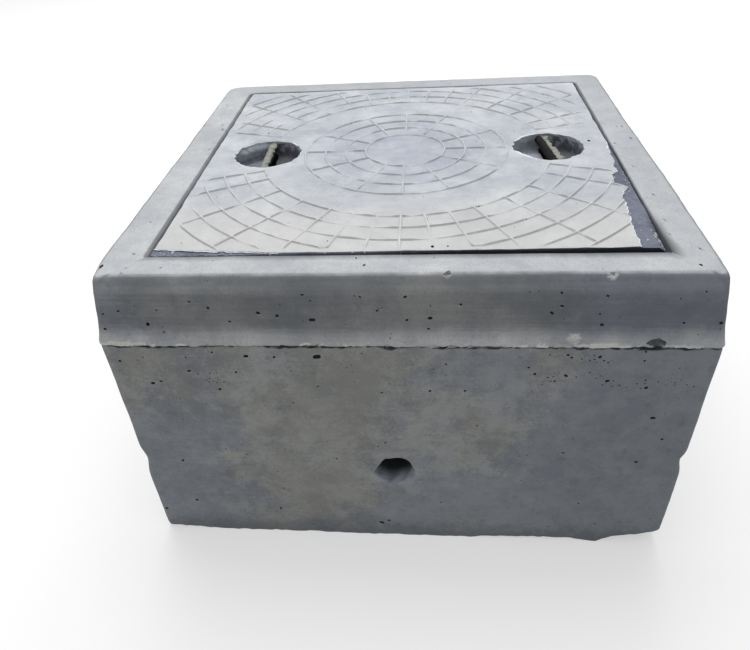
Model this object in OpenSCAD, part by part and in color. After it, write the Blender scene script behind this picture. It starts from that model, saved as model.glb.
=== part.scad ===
// Earthing pit chamber with its lid. The chamber is one concrete casting, open below,
// with a leaning collar on top. The square lid lies in a rebate of the collar. Two steel
// bars are cast into the lid, each across a round pocket. Height runs up Z from the
// ground, and the side with the cable hole faces -Y.

/* [Chamber] */
// Width of the square opening that takes the lid
opening_w = 408; // [300:1:600]
// Radius of the opening's upright corners
opening_r = 5; // [2:0.5:12]
// Width of the rim, from the opening out to the box's outer face
rim_w = 39; // [30:1:70]
// Overall height
body_h = 300; // [220:5:600]
// Radius of the box's outer upright corners
corner_r = 6; // [4:0.5:20]
// Width of the ledge that the lid rests on
ledge_w = 22; // [14:1:40]
// Radius of the cavity's upright corners
cavity_r = 25; // [10:1:60]
// How much further out each cavity wall stands at the ground than at the ledge
cavity_draft = 4; // [0.5:0.5:10]

/* [Collar] */
// Height of the collar, from the mould joint to the top
collar_h = 57.5; // [50:0.5:120]
// How far each collar face leans in over its height
collar_lean = 6.5; // [1:0.5:12]
// Radius of the rounded top edge
top_round = 6; // [3:0.5:14]
// How far the flash at the mould joint stands out
flash_out = 1.5; // [0.5:0.25:5]
// Height of that flash
flash_h = 4; // [2:0.5:10]

/* [Cable hole] */
// Diameter of the hole through the front wall
hole_d = 34; // [16:1:80]
// Height of the hole's centre above the ground
hole_z = 96; // [60:1:150]
// How far the hole's centre is to the right of the middle
hole_x = -6.5; // [-60:0.5:60]

/* [Lid] */
// Thickness of the lid, with its ribs
lid_t = 40; // [34:1:60]
// How far the ribs' tops stand above the chamber's rim
lid_proud = 1; // [0:0.25:2]
// Clearance between the lid and the opening on each side, when the lid is centred
lid_gap = 2.5; // [2.5:0.5:8]
// Gap left behind the lid as it lies
back_gap = 1.4; // [1:0.1:2.4]
// Gap left to the right of the lid
right_gap = 1.9; // [1:0.1:4]
// How far the lid is turned in its opening, in degrees
lid_turn = 0.2; // [0:0.05:0.25]
// Radius of the lid's upright corners
lid_r = 5; // [4:0.5:12]
// How much each side face leans in towards the underside
lid_draft = 2; // [0.5:0.5:3.5]
// Size of the small bevel round the lid's top edge
lid_bevel = 1; // [0.5:0.25:3]
// Thickness of the pale cement skin, where it has broken away
skin_t = 1.2; // [0.5:0.1:3]

/* [Pattern] */
// Height of the cast ribs
rib_h = 1.4; // [0.6:0.1:3]
// Width of the cast ribs
rib_w = 3; // [1.5:0.25:5]
// How far the pattern's centre lies behind the lid's middle
pattern_y = 3.7; // [-4:0.1:4]
// Radius of the plain disc in the middle
disc_r = 40; // [20:0.5:44]
// Distance from ring to ring round the disc
rosette_pitch = 20.6; // [10:0.1:21]
// Radius of the first circle of the outer field
field_r = 143.5; // [120:0.5:160]
// Distance from circle to circle of the outer field
field_pitch = 20.2; // [12:0.1:30]
// Plain margin between the outer field and the lid's edge
margin = 10; // [5:0.5:20]

/* [Lifting pockets] */
// Distance from the lid's side edges to each pocket's centre
pocket_edge = 58.9; // [55:0.1:59.5]
// Diameter of the pockets
pocket_d = 68; // [50:1:72]
// Depth of the pockets' floor
pocket_depth = 16; // [14:0.5:18]
// Depth of the slot in the floor under each bar
slot_depth = 27; // [22:0.5:30]

/* [Lifting bars] */
// Diameter of the steel bars
bar_d = 8; // [6:0.5:10]
// Depth of a bar's centre below the lid's face
bar_drop = 6.5; // [5.5:0.25:8]
// Radius of the bends, at the bar's centre
bend_r = 14; // [10:0.5:16]
// Length of the straight legs below the bends
leg_len = 6; // [2:0.5:8]
// Clearance between a bar and the concrete cast round it
bar_fit = 0.1; // [0.05:0.05:0.3]
// How far the left bar is turned from front to back, in degrees
left_bar_turn = 1; // [-8:0.5:8]
// How far the right bar is turned
right_bar_turn = 7; // [-8:0.5:8]

/* [Hidden] */
$fn = 64;
// How far a cut runs clear of the face that it opens
over = 1;
body_w = opening_w + 2 * rim_w;
cavity_w = opening_w - 2 * ledge_w;
seat_z = body_h + lid_proud - lid_t;
joint_z = body_h - collar_h;
lid_w = opening_w - 2 * lid_gap;
face_z = lid_t - rib_h;
pocket_x = lid_w / 2 - pocket_edge;
slot_w = bar_d + 1;
field_w = lid_w - 2 * margin;
// Rings and spokes, the spokes in degrees from the front-to-back line
ROSETTE_RINGS = 4;
ROSETTE_SPOKES = [0, 25, 63, 90];
FIELD_SPOKES = [0, 8, 16.5, 25.5, 38.5, 51.5, 64, 72];
// Edge of the broken skin: distance in from the lid's edge, then along it from a front corner
RIGHT_BREAK = [[18, 0], [16.5, 45], [13, 79], [14, 92], [5.5, 109], [13.5, 118], [13, 137], [7, 164], [0, 218]];
FRONT_BREAK = [[11, 0], [7.5, 35], [4, 82], [0, 120]];

// A square with rounded corners, centred
module rounded_square(width, radius) {
    side = width - 2 * radius;
    square([width, side], center = true);
    square([side, width], center = true);
    for (x = [-1, 1], y = [-1, 1]) translate([x * side / 2, y * side / 2]) circle(radius);
}

// Carries an outline round a rounded square. In the outline, x is the distance out from
// the centre of a corner and y is the height.
module carried_round(width, radius, height) {
    side = width - 2 * radius;
    for (turn = [0 : 90 : 270]) rotate(turn) translate([side / 2, side / 2, 0]) {
        rotate_extrude(angle = 90) children();
        rotate([90, 0, 0]) linear_extrude(side) children();
    }
    translate([-side / 2, -side / 2, 0]) cube([side, side, height]);
}

// The collar leans in from the mould joint to a rounded top edge
module collar() {
    top_half = body_w / 2 - collar_lean - top_round;
    hull() {
        translate([0, 0, joint_z]) linear_extrude(1) rounded_square(body_w, corner_r, $fn = 32);
        for (x = [-1, 1], y = [-1, 1]) translate([x * top_half, y * top_half, body_h - top_round])
            sphere(top_round, $fn = 32);
    }
}

// Thin ridge of cement that leaked out where the two mould halves met
module joint_flash() {
    translate([0, 0, joint_z - flash_h / 2]) carried_round(body_w, corner_r, flash_h)
        polygon([[0, 0], [corner_r, 0], [corner_r + flash_out, flash_h / 2], [corner_r, flash_h], [0, flash_h]]);
}

// The cavity widens towards the ground, so that its core could be drawn
module cavity() {
    height = seat_z + 2 * over;
    translate([0, 0, -over]) carried_round(cavity_w, cavity_r, height)
        polygon([[0, 0], [cavity_r + cavity_draft, 0], [cavity_r, height], [0, height]]);
}

module cable_hole() {
    translate([hole_x, over - cavity_w / 2, hole_z]) rotate([90, 0, 0])
        cylinder(d = hole_d, h = body_w);
}

module chamber() {
    color("darkgray") difference() {
        union() {
            linear_extrude(joint_z) rounded_square(body_w, corner_r);
            joint_flash();
            collar();
        }
        translate([0, 0, seat_z]) linear_extrude(lid_t + over) rounded_square(opening_w, opening_r);
        cavity();
        cable_hole();
    }
}

// Puts a piece of the lid where the lid lies in its opening
module in_place() {
    translate([lid_gap - right_gap, lid_gap - back_gap, seat_z]) rotate(lid_turn) children();
}

// Does the same at a lifting pocket, side -1 on the left and 1 on the right
module at_pocket(side) {
    translate([side * pocket_x, pattern_y, face_z]) children();
}

module lid_slab() {
    carried_round(lid_w, lid_r, face_z)
        polygon([
            [0, 0],
            [lid_r - lid_draft, 0],
            [lid_r, face_z - lid_bevel],
            [lid_r - lid_bevel, face_z],
            [0, face_z]
        ]);
}

module ring_line(radius) {
    difference() {
        circle(radius + rib_w / 2);
        circle(radius - rib_w / 2);
    }
}

// A straight rib, its angle measured from the front-to-back line
module spoke_line(angle, from, to) {
    rotate(90 + angle) translate([from, -rib_w / 2]) square([to - from, rib_w]);
}

// Four rings round a plain disc, with spokes across them
module rosette_lines() {
    outer_r = disc_r + (ROSETTE_RINGS - 1) * rosette_pitch;
    for (i = [0 : ROSETTE_RINGS - 1]) ring_line(disc_r + i * rosette_pitch);
    for (end = [0, 180], side = [-1, 1], angle = ROSETTE_SPOKES)
        spoke_line(end + side * angle, disc_r, outer_r);
}

// Circles and spokes in front of and behind the rosette, left out beside the pockets
module field_lines() {
    corner = field_w / sqrt(2) + abs(pattern_y);
    last = FIELD_SPOKES[len(FIELD_SPOKES) - 1];
    for (end = [0, 180]) {
        for (side = [-1, 1], angle = FIELD_SPOKES) spoke_line(end + side * angle, field_r, corner);
        intersection() {
            for (radius = [field_r : field_pitch : corner]) ring_line(radius);
            rotate(end) polygon([
                [0, 0],
                [-corner, corner / tan(last)],
                [-corner, corner],
                [corner, corner],
                [corner, corner / tan(last)]
            ]);
        }
    }
}

module ribs() {
    translate([0, 0, face_z - 0.2]) linear_extrude(rib_h + 0.2) intersection() {
        translate([0, pattern_y]) union() {
            rosette_lines();
            field_lines();
        }
        square(field_w, center = true);
    }
}

// Round pocket with a narrow slot in its floor, under the bar
module pocket() {
    translate([0, 0, -pocket_depth]) cylinder(d = pocket_d, h = pocket_depth + rib_h + over);
    intersection() {
        translate([0, 0, -slot_depth]) cylinder(d = pocket_d, h = slot_depth);
        translate([-slot_w / 2, -pocket_d / 2, -slot_depth]) cube([slot_w, pocket_d, slot_depth]);
    }
}

// Straight across the pocket, then bent down at both ends into the concrete
module bent_bar(diameter, turn, leg) {
    translate([0, 0, -bar_drop]) rotate(turn) {
        rotate([90, 0, 0]) cylinder(d = diameter, h = pocket_d, center = true);
        for (end = [0, 1]) mirror([0, end, 0]) translate([0, pocket_d / 2, -bend_r]) {
            rotate([90, 0, 90]) rotate_extrude(angle = 90) translate([bend_r, 0]) circle(d = diameter);
            translate([0, bend_r, -leg]) cylinder(d = diameter, h = leg);
        }
    }
}

// Where the pale skin has come off along the right edge and at the left of the front edge
module broken_skin() {
    translate([lid_w / 2, -lid_w / 2]) polygon(concat(
        [[over, -over], [-RIGHT_BREAK[0][0], -over]],
        [for (p = RIGHT_BREAK) [-p[0], p[1]]],
        [[over, RIGHT_BREAK[len(RIGHT_BREAK) - 1][1]]]
    ));
    translate([-lid_w / 2, -lid_w / 2]) polygon(concat(
        [[-over, -over], [-over, FRONT_BREAK[0][0]]],
        [for (p = FRONT_BREAK) [p[1], p[0]]],
        [[FRONT_BREAK[len(FRONT_BREAK) - 1][1], -over]]
    ));
}

module lid() {
    color("lightgray") in_place() difference() {
        union() {
            lid_slab();
            ribs();
        }
        for (side = [-1, 1]) at_pocket(side) pocket();
        at_pocket(-1) bent_bar(bar_d + 2 * bar_fit, left_bar_turn, leg_len + bar_fit);
        at_pocket(1) bent_bar(bar_d + 2 * bar_fit, right_bar_turn, leg_len + bar_fit);
        translate([0, 0, face_z - skin_t]) linear_extrude(skin_t + rib_h + over) broken_skin();
    }
}

module lifting_bar_left() {
    color("dimgray") in_place() at_pocket(-1) bent_bar(bar_d, left_bar_turn, leg_len);
}

module lifting_bar_right() {
    color("dimgray") in_place() at_pocket(1) bent_bar(bar_d, right_bar_turn, leg_len);
}

chamber();
lid();
lifting_bar_left();
lifting_bar_right();
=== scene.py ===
"""Dresses the packed earthing pit chamber, its lid and its two lifting bars in finished surfaces.

Lengths inside the shape functions are millimetres. X runs right, Y to the back, Z up from the
ground. Each casting is worked out as one closed surface and then has its holes, pits and breaks
cut out of it.
"""

import math
from types import SimpleNamespace

import bpy
import numpy as np
from mathutils import Matrix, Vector
from mathutils.bvhtree import BVHTree


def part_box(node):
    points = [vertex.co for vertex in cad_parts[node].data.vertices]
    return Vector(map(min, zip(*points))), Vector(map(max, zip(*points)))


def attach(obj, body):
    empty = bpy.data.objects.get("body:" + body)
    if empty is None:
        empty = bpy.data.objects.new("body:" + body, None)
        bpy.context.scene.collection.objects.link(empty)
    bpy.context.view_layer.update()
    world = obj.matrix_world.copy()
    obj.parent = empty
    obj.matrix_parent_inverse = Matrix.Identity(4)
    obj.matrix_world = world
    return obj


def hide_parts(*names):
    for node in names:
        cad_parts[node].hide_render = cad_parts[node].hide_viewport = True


bl_info = {
    "name": "Earthing pit chamber",
    "version": (1, 0, 0),
    "blender": (4, 5, 0),
    "location": "3D View > Sidebar > Pit",
    "description": "Builds a precast earthing pit chamber with its lid",
    "category": "Add Mesh",
}

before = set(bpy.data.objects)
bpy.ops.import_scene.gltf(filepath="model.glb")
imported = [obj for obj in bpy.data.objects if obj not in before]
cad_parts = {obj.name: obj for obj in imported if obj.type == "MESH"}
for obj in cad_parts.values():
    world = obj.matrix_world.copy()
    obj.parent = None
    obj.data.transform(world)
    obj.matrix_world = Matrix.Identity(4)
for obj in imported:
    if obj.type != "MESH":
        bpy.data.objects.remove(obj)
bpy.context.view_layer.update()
CHAMBER_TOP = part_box("chamber")[1][2]

# The photograph's camera, in millimetres and pixels
EYE = np.array((22.86, -640.46, 562.66))
LOOK = np.array((-0.10402, 0.79018, -0.60399))
RIGHT = np.array((0.99457, 0.08413, -0.06122))
DOWN = np.array((0.00244, -0.60708, -0.79464))
FOCAL_PX = 657.59
CENTRE_PX = (357.75, 328.64)
FRAME_PX = (750, 650)
SENSOR_WIDTH = 36.0
# Both poles of a ball of radius 1
POLES = np.array(((0, 0, -1.0), (0, 0, 1.0)))

# Bug holes that stand out on the front, as pixel across, pixel down and radius in millimetres
COLLAR_BUG_HOLES = (
    (148, 324, 2.3), (312, 320, 2.0), (258, 313, 1.6), (277, 316, 1.7), (208, 308, 1.6), (290, 288, 1.3),
    (302, 295, 1.3), (118, 311, 1.2), (105, 329, 1.3), (164, 332, 1.0), (310, 301, 1.0), (189, 302, 1.0),
    (360, 297, 1.1), (377, 311, 1.2), (382, 308, 0.9), (405, 297, 1.2), (430, 318, 1.8), (407, 320, 1.4),
    (354, 296, 0.8), (562, 293, 1.3), (562, 306, 1.4), (552, 313, 1.6), (530, 292, 1.0), (608, 296, 1.4),
    (616, 290, 1.1), (600, 314, 1.1), (602, 325, 1.3), (684, 323, 1.3), (721, 323, 1.6), (707, 292, 1.2),
    (457, 282, 1.1), (466, 287, 1.1), (240, 287, 1.4), (265, 292, 0.8), (103, 314, 0.9), (720, 329, 0.8),
)
WALL_BUG_HOLES = (
    (317, 357, 2.9), (246, 356, 2.2), (274, 357, 1.5), (212, 352, 1.4), (186, 357, 1.4), (120, 361, 1.7),
    (143, 357, 0.9), (189, 371, 1.6), (236, 372, 1.4), (153, 383, 1.8), (161, 381, 1.4), (220, 389, 1.5),
    (430, 391, 1.4), (465, 391, 1.4), (446, 364, 1.0), (535, 374, 1.6), (566, 376, 1.6), (571, 379, 1.9),
    (607, 381, 1.7), (613, 384, 2.0), (646, 388, 1.7), (653, 418, 1.9), (662, 439, 1.7), (636, 462, 1.8),
    (183, 460, 1.6), (167, 508, 2.0), (197, 500, 1.6), (281, 508, 1.5), (382, 522, 2.1), (389, 520, 1.6),
    (568, 355, 1.2), (550, 355, 1.0), (385, 443, 1.1), (378, 447, 0.9), (600, 357, 1.5), (646, 352, 1.2),
)
# Pocked patches of the wall, as pixel across, pixel down and spread in millimetres
POCKED = ((566, 377, 6.0), (608, 382, 5.5), (646, 386, 5.0), (678, 382, 5.0), (595, 360, 6.0), (216, 378, 7.0))
RIM_BUG_HOLES = ((101, 266, 2.4), (701, 265, 1.4), (706, 266, 2.3), (364, 265, 1.4), (356, 258, 1.0))
LID_BUG_HOLES = ((589, 140.5, 1.9), (431.5, 246.5, 1.3), (447, 246, 0.9))

# Ground edge of the front wall: distance across and how far it is broken away upwards
GROUND_EDGE = (
    (-242, 4.0), (-199, 1.5), (-157, 0.4), (-94, 1.0), (-54, 0.0), (7, 0.6), (47, 0.0), (66, 0.0), (84, 2.4),
    (105, 3.4), (124, 4.6), (162, 4.2), (174, 1.2), (186, 0.4), (199, 7.2), (217, 10.6), (234, 14.6), (242, 17.0),
)
# Dents in the front corners: side, height, reach up and down, and depth
CORNER_DENTS = ((-1, 101, 13, 3.0), (1, 114, 9, 3.2))
# Blob of cement and spalled lip at the mould joint, as place and half sizes
CEMENT_BLOB = ((133, -242.3, 249.5), (3.7, 1.7, 3.7))
SPALLED_LIP = ((192.5, -246.0, 246.0), (7.5, 5.6, 4.6))
# Chips on the front's top edge, as pixel across and down
EDGE_CHIPS = ((447, 274), (613, 274.5))
# Pale flakes of flash just above the mould joint on the front: place across, half width and height
SEAM_FLAKES = (
    (-173, 5, 1.6), (-72.5, 5, 1.6), (-34, 8, 1.2), (92, 8, 1.4), (110, 4, 1.8), (155, 20, 2.6), (212, 14, 1.8),
)
# Edge of the lid's broken skin: distance in from the lid's edge, then along it from a front corner
RIGHT_BREAK = (
    (18, 0), (16.5, 45), (13, 79), (14, 92), (3.5, 109), (13.5, 118), (12, 135), (5, 143), (6.5, 153), (3.5, 166),
    (4, 180), (1.5, 203), (0, 216),
)
FRONT_BREAK = ((11, 0), (7.5, 35), (5, 82), (0, 120))
# How far the lid's front face is worn back, as place across and distance
FRONT_RECESS = ((-200, 1.3), (-90, 2.4), (-50, 3.4), (40, 3.7), (110, 4.4), (170, 5.6), (205, 6.6))
# Profile of a lifting pocket 16 deep and 34 in radius, as depth and distance from its middle
POCKET_PROFILE = (
    (16, 8), (16, 16), (16, 24), (16, 29), (15.6, 31.6), (14.4, 32.9), (12.5, 33.3), (10.5, 33.5), (8.5, 33.6),
    (6.5, 33.7), (5, 33.8), (3.5, 33.8), (2.4, 33.9), (1.4, 34.0), (0.6, 34.3), (0, 34.9), (-0.8, 35.6), (-4.0, 36.5),
)
# Ribs, in degrees from the front-to-back line
ROSETTE_SPOKES = (0, 25, 63, 90)
FIELD_SPOKES = (0, 8, 16.5, 25.5, 38.5, 51.5, 64, 72)
# Where the lines of the lid's surface run beside the middle of a rib
RIB_LINES = (-2.5, -1.6, -0.8, 0.0, 0.8, 1.6, 2.5)


def linear(code):
    """Linear red, green, blue of an sRGB hex colour."""
    parts = [int(code[i : i + 2], 16) / 255 for i in (0, 2, 4)]
    return [c / 12.92 if c <= 0.04045 else ((c + 0.055) / 1.055) ** 2.4 for c in parts]


def length(name, description, default_mm, low_mm=0.0, high_mm=1000.0):
    """A length property whose default and limits are given in millimetres."""
    return bpy.props.FloatProperty(
        name=name,
        description=description,
        default=default_mm / 1000,
        min=low_mm / 1000,
        max=high_mm / 1000,
        precision=4,
        subtype="DISTANCE",
        unit="LENGTH",
    )


def colour(name, description, code):
    """A colour property whose default is given as an sRGB hex value."""
    return bpy.props.FloatVectorProperty(
        name=name, description=description, default=linear(code), min=0, max=1, size=3, subtype="COLOR"
    )


class ChamberSizes(bpy.types.PropertyGroup):
    """Sizes of the precast chamber."""

    wall: length("Half width", "From the middle to the box's outer face", 243)
    height: length("Height", "From the ground to the rim", CHAMBER_TOP * 1000)
    corner: length("Corner radius", "Radius of the upright outer corners", 6)
    joint: length("Mould joint", "Height of the joint of the two mould halves", 242.5)
    lean: length("Collar lean", "How far the collar's faces lean in", 6.5)
    top_round: length("Top edge", "Radius of the rounded top edge", 6)
    lip: length("Lip", "How far the flash at the mould joint stands out at most", 1.3)
    opening: length("Half opening", "From the middle to the side of the lid's opening", 204)
    opening_corner: length("Opening corner", "Radius of the opening's upright corners", 5)
    seat: length("Seat", "Height of the ledge that carries the lid", 261)
    cavity: length("Half cavity", "From the middle to the cavity's wall at the ledge", 182)
    cavity_corner: length("Cavity corner", "Radius of the cavity's upright corners", 25)
    draft: length("Cavity draft", "How much further out the cavity's wall is at the ground", 4)
    hole_radius: length("Cable hole", "Radius of the cable hole", 17)
    hole_height: length("Hole height", "Height of the cable hole's middle", 96)
    hole_across: length("Hole place", "Place of the cable hole across the front", -6.5, -100, 100)
    wave: length("Waviness", "Typical unevenness of the cast faces", 0.22)


class LidSizes(bpy.types.PropertyGroup):
    """Sizes of the lid."""

    half: length("Half width", "From the middle to the lid's side", 201.5)
    corner: length("Corner radius", "Radius of the upright corners", 5)
    thickness: length("Thickness", "From the underside to the ribs' tops", 40)
    rib_height: length("Rib height", "Height of the cast ribs", 1.4)
    rib_width: length("Rib width", "Width of the cast ribs", 2.5)
    across: length("Place across", "Place of the lid's middle to the right", 0.6, -10, 10)
    back: length("Place back", "Place of the lid's middle to the back", 1.1, -10, 10)
    seat: length("Seat", "Height of the lid's underside", 261)
    pattern_back: length("Pattern", "Place of the pattern's middle behind the lid's", 3.7, -10, 10)
    disc: length("Disc", "Radius of the plain disc in the middle", 40)
    ring_step: length("Ring distance", "Distance from ring to ring round the disc", 20.6)
    field: length("Outer field", "Radius of the outer field's first circle", 143.5)
    field_step: length("Circle distance", "Distance from circle to circle of the outer field", 20.2)
    margin: length("Margin", "Plain margin between the ribs and the lid's edge", 10)
    pocket_across: length("Pocket place", "From the pattern's middle to a pocket's middle", 142.6)
    pocket_radius: length("Pocket radius", "Radius of the lifting pockets", 34)
    pocket_depth: length("Pocket depth", "Depth of the pockets' floor", 16)
    slot_depth: length("Slot depth", "Depth of the slot under each bar", 27)
    skin: length("Skin", "Thickness of the pale cement skin", 1.2)
    turn: bpy.props.FloatProperty(
        name="Turn", description="How far the lid lies turned", default=math.radians(0.2), subtype="ANGLE"
    )


class BarSizes(bpy.types.PropertyGroup):
    """Sizes of the lifting bars."""

    radius: length("Radius", "Radius of the steel bar", 4)
    drop: length("Drop", "Depth of the bar's middle below the lid's face", 6.5)
    bend: length("Bend radius", "Radius of the bends, at the bar's middle", 14)
    leg: length("Leg", "Length of the straight legs below the bends", 6)
    crust: length("Crust", "Thickness of the cement crust", 1.1)
    left_turn: bpy.props.FloatProperty(
        name="Left turn", description="Turn of the left bar", default=math.radians(1), subtype="ANGLE"
    )
    right_turn: bpy.props.FloatProperty(
        name="Right turn", description="Turn of the right bar", default=math.radians(7), subtype="ANGLE"
    )


class Finishes(bpy.types.PropertyGroup):
    """Colours of the finished surfaces."""

    formed: colour("Formed concrete", "Concrete as it comes out of the mould", "AFB1B1")
    formed_dark: colour("Formed concrete, damp", "The darker clouds in it", "878A8D")
    olive: colour("Olive tint", "Warm clouds of the formed faces", "A1A299")
    blue: colour("Blue tint", "Cool clouds of the formed faces", "8F959F")
    rim: colour("Rim skin", "Pale cement skin on the chamber's rim", "C9CBCD")
    rim_shade: colour("Rim skin, shaded", "The greyer clouds on the rim", "AFB3B8")
    skin: colour("Cement skin", "Pale cement skin of the lid", "C6C8CB")
    skin_shade: colour("Cement skin, shaded", "The greyer clouds in the lid's skin", "ABB0B8")
    # Worn rib crests, painted paler also as a highlight on the ribs' tops
    crest: colour("Rib crest", "Worn crests of the ribs", "E8E8E4")
    # Also painted along the broken skin's edge, where it stands partly for a highlight there
    flake: colour("Flaked edge", "Chalky edge where the skin has flaked off", "E9ECEE")
    bare: colour("Bare concrete", "Dense blue-grey concrete under the skin", "787D8D")
    pocket: colour("Pocket", "Damp concrete in the lifting pockets", "A6ACB7")
    # Painted shade: near-black colour for the bug holes and slots, standing in for the shade deep inside them
    hole: colour("Air hole", "Dirt in the air holes", "303337")
    crust: colour("Crust", "Cement slurry on the bars", "9C9E97")
    flash: colour("Flash", "Pale cement of the flash at the mould joint", "DCDCD6")
    steel: colour("Steel", "Dark rolled steel", "1B1B1E")


def in_mm(group):
    """The group's numbers by name, with its lengths in millimetres."""
    found = {}
    for row in group.bl_rna.properties:
        if row.type == "FLOAT" and not row.is_array:
            found[row.identifier] = getattr(group, row.identifier) * (1000 if row.unit == "LENGTH" else 1)
    return SimpleNamespace(**found)


# Noise and small curves


def waves(points, size, seed, count=16):
    """Smooth noise of about unit strength.

    It is the sum of plane waves in random directions, with wavelengths near size.
    """
    rng = np.random.default_rng(seed)
    heading = rng.normal(size=(3, count))
    heading /= np.linalg.norm(heading, axis=0)
    pace = 2 * np.pi / (size * rng.uniform(0.6, 1.6, count))
    phase = rng.uniform(0, 2 * np.pi, count)
    return np.cos(points @ (heading * pace) + phase).sum(-1) * math.sqrt(2 / count)


def ragged(along, step, seed, loop=None):
    """Jagged noise from -1 to 1 along a line.

    Random heights every step are joined by straight lines, and close on themselves over loop.
    """
    rng = np.random.default_rng(seed)
    count = int(round(loop / step)) if loop else 4096
    heights = rng.uniform(-1, 1, count)
    place = (np.asarray(along) / (loop / count if loop else step)) % count
    low = place.astype(int) % count
    part = place - np.floor(place)
    return heights[low] * (1 - part) + heights[(low + 1) % count] * part


def ease(value, start, end):
    """Smooth step from 0 at start to 1 at end, which may be the lower of the two."""
    t = np.clip((value - start) / (end - start), 0, 1)
    return t * t * (3 - 2 * t)


# Meshes


def grid_triangles(rows, columns, capped):
    """Triangles of a grid whose columns close on themselves.

    Uncapped, its rows close too. Capped, a fan of triangles at each end runs to a point of its
    own, and those two points come after the grid's.
    """
    r = np.arange(rows - 1 if capped else rows)[:, None]
    c = np.arange(columns)[None, :]
    r1, c1 = (r + 1) % rows, (c + 1) % columns
    corners = [r * columns + c, r * columns + c1, r1 * columns + c1, r1 * columns + c]
    quads = np.stack(np.broadcast_arrays(*corners), -1).reshape(-1, 4)
    parts = [quads[:, [0, 1, 2]], quads[:, [0, 2, 3]]]
    if capped:
        c, c1 = c[0], c1[0]
        last, low = (rows - 1) * columns, rows * columns
        parts.append(np.stack([np.full(columns, low), c1, c], -1))
        parts.append(np.stack([last + c, last + c1, np.full(columns, low + 1)], -1))
    return np.concatenate(parts)


def closed_mesh(name, grid, ends=None):
    """Mesh of a closed surface from a grid of points, rows by columns by 3, in millimetres.

    Without ends the rows close on themselves. With ends, a low and a high point, a fan of
    triangles closes each end. Faces are turned to point outwards by the sign of the volume.
    """
    points = grid.reshape(-1, 3)
    triangles = grid_triangles(*grid.shape[:2], ends is not None)
    if ends is not None:
        points = np.concatenate([points, np.array(ends, float)])
    a, b, c = (points[triangles[:, i]] for i in range(3))
    if np.einsum("ij,ij->i", a, np.cross(b, c)).sum() < 0:
        triangles = triangles[:, ::-1]
    return put_mesh(name, points, triangles)


def put_mesh(name, points, triangles):
    """Object of the given triangles, its points in millimetres turned to metres."""
    mesh = bpy.data.meshes.new(name)
    mesh.vertices.add(len(points))
    mesh.vertices.foreach_set("co", (points / 1000).astype(np.float32).ravel())
    mesh.loops.add(triangles.size)
    mesh.loops.foreach_set("vertex_index", triangles.astype(np.int32).ravel())
    mesh.polygons.add(len(triangles))
    mesh.polygons.foreach_set("loop_start", np.arange(0, triangles.size, 3, dtype=np.int32))
    mesh.update(calc_edges=True)
    mesh.validate()
    piece = bpy.data.objects.new(name, mesh)
    bpy.context.scene.collection.objects.link(piece)
    return piece


def points_of(piece):
    """Vertex places in millimetres and vertex normals of a piece."""
    mesh = piece.data
    places = np.empty(len(mesh.vertices) * 3, np.float32)
    mesh.vertices.foreach_get("co", places)
    normals = np.empty(len(mesh.vertices) * 3, np.float32)
    mesh.vertex_normals.foreach_get("vector", normals)
    return places.reshape(-1, 3).astype(float) * 1000, normals.reshape(-1, 3).astype(float)


def store(piece, name, values):
    """Keeps one number per vertex as a named attribute."""
    layer = piece.data.attributes.new(name, "FLOAT", "POINT")
    layer.data.foreach_set("value", np.asarray(values, np.float32))


def combine(piece, other, operation):
    """Joins, cuts or keeps the common part of two closed meshes, and deletes the second one."""
    step = piece.modifiers.new("combine", "BOOLEAN")
    step.operation = operation
    step.solver = "MANIFOLD"
    step.material_mode = "TRANSFER"
    step.object = other
    graph = bpy.context.evaluated_depsgraph_get()
    made = bpy.data.meshes.new_from_object(piece.evaluated_get(graph), depsgraph=graph)
    piece.modifiers.clear()
    if len(made.polygons) == 0:
        raise RuntimeError(f"{operation} of {piece.name} with {other.name} left nothing")
    old = piece.data
    piece.data = made
    bpy.data.meshes.remove(old)
    bpy.data.objects.remove(other)


def cut_all(piece, cutters):
    """Cuts each cutter out of a piece and gives the cut faces that cutter's material."""
    for cutter, material in cutters:
        cutter.data.materials.append(material)
        combine(piece, cutter, "DIFFERENCE")


def finish_piece(piece, node, angle):
    """Shades a piece smooth but for its edges sharper than angle, and puts it in its CAD node's place."""
    mesh = piece.data
    mesh.polygons.foreach_set("use_smooth", np.ones(len(mesh.polygons), bool))
    mesh.set_sharp_from_angle(angle=math.radians(angle))
    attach(piece, "root")
    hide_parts(node)


def spun(points, turn):
    """Points or directions turned round the upright axis by an angle."""
    points = np.array(points, float)
    x, y = points[..., 0].copy(), points[..., 1].copy()
    points[..., 0] = np.cos(turn) * x - np.sin(turn) * y
    points[..., 1] = np.sin(turn) * x + np.cos(turn) * y
    return points


def square_columns(front, side, corner):
    """Columns round a rounded square, from its front left corner, seen from above against the clock.

    Each column is a place on the square of the corner centres, from -1 to 1, and the outward
    direction there. A point lies at place times (half width less radius) plus direction times radius.
    """
    places, headings = [], []
    for quarter, count in enumerate((front, side, side, side)):
        turn = quarter * np.pi / 2
        t = np.linspace(-1, 1, count + 1)
        place = np.stack([t, -np.ones_like(t)], -1)
        heading = np.tile([0.0, -1.0], (count + 1, 1))
        arc = np.linspace(-np.pi / 2, 0, corner + 1)[1:-1]
        place = np.concatenate([place, np.tile([1.0, -1.0], (corner - 1, 1))])
        heading = np.concatenate([heading, np.stack([np.cos(arc), np.sin(arc)], -1)])
        places.append(spun(place, turn))
        headings.append(spun(heading, turn))
    return np.concatenate(places), np.concatenate(headings)


def carry(rows, columns):
    """Grid of points: each row's half width, corner radius and height carried round the columns."""
    places, headings = columns
    half, radius, height = (rows[:, i][:, None] for i in range(3))
    flat = places[None] * (half - radius)[..., None] + headings[None] * radius[..., None]
    return np.concatenate([flat, np.broadcast_to(height, flat.shape[:2])[..., None]], -1)


def row_normals(rows):
    """Outward and upward part of the profile's normal at each row."""
    out = np.gradient(rows[:, 0])
    up = np.gradient(rows[:, 2])
    size = np.hypot(out, up) + 1e-9
    return up / size, -out / size


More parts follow.
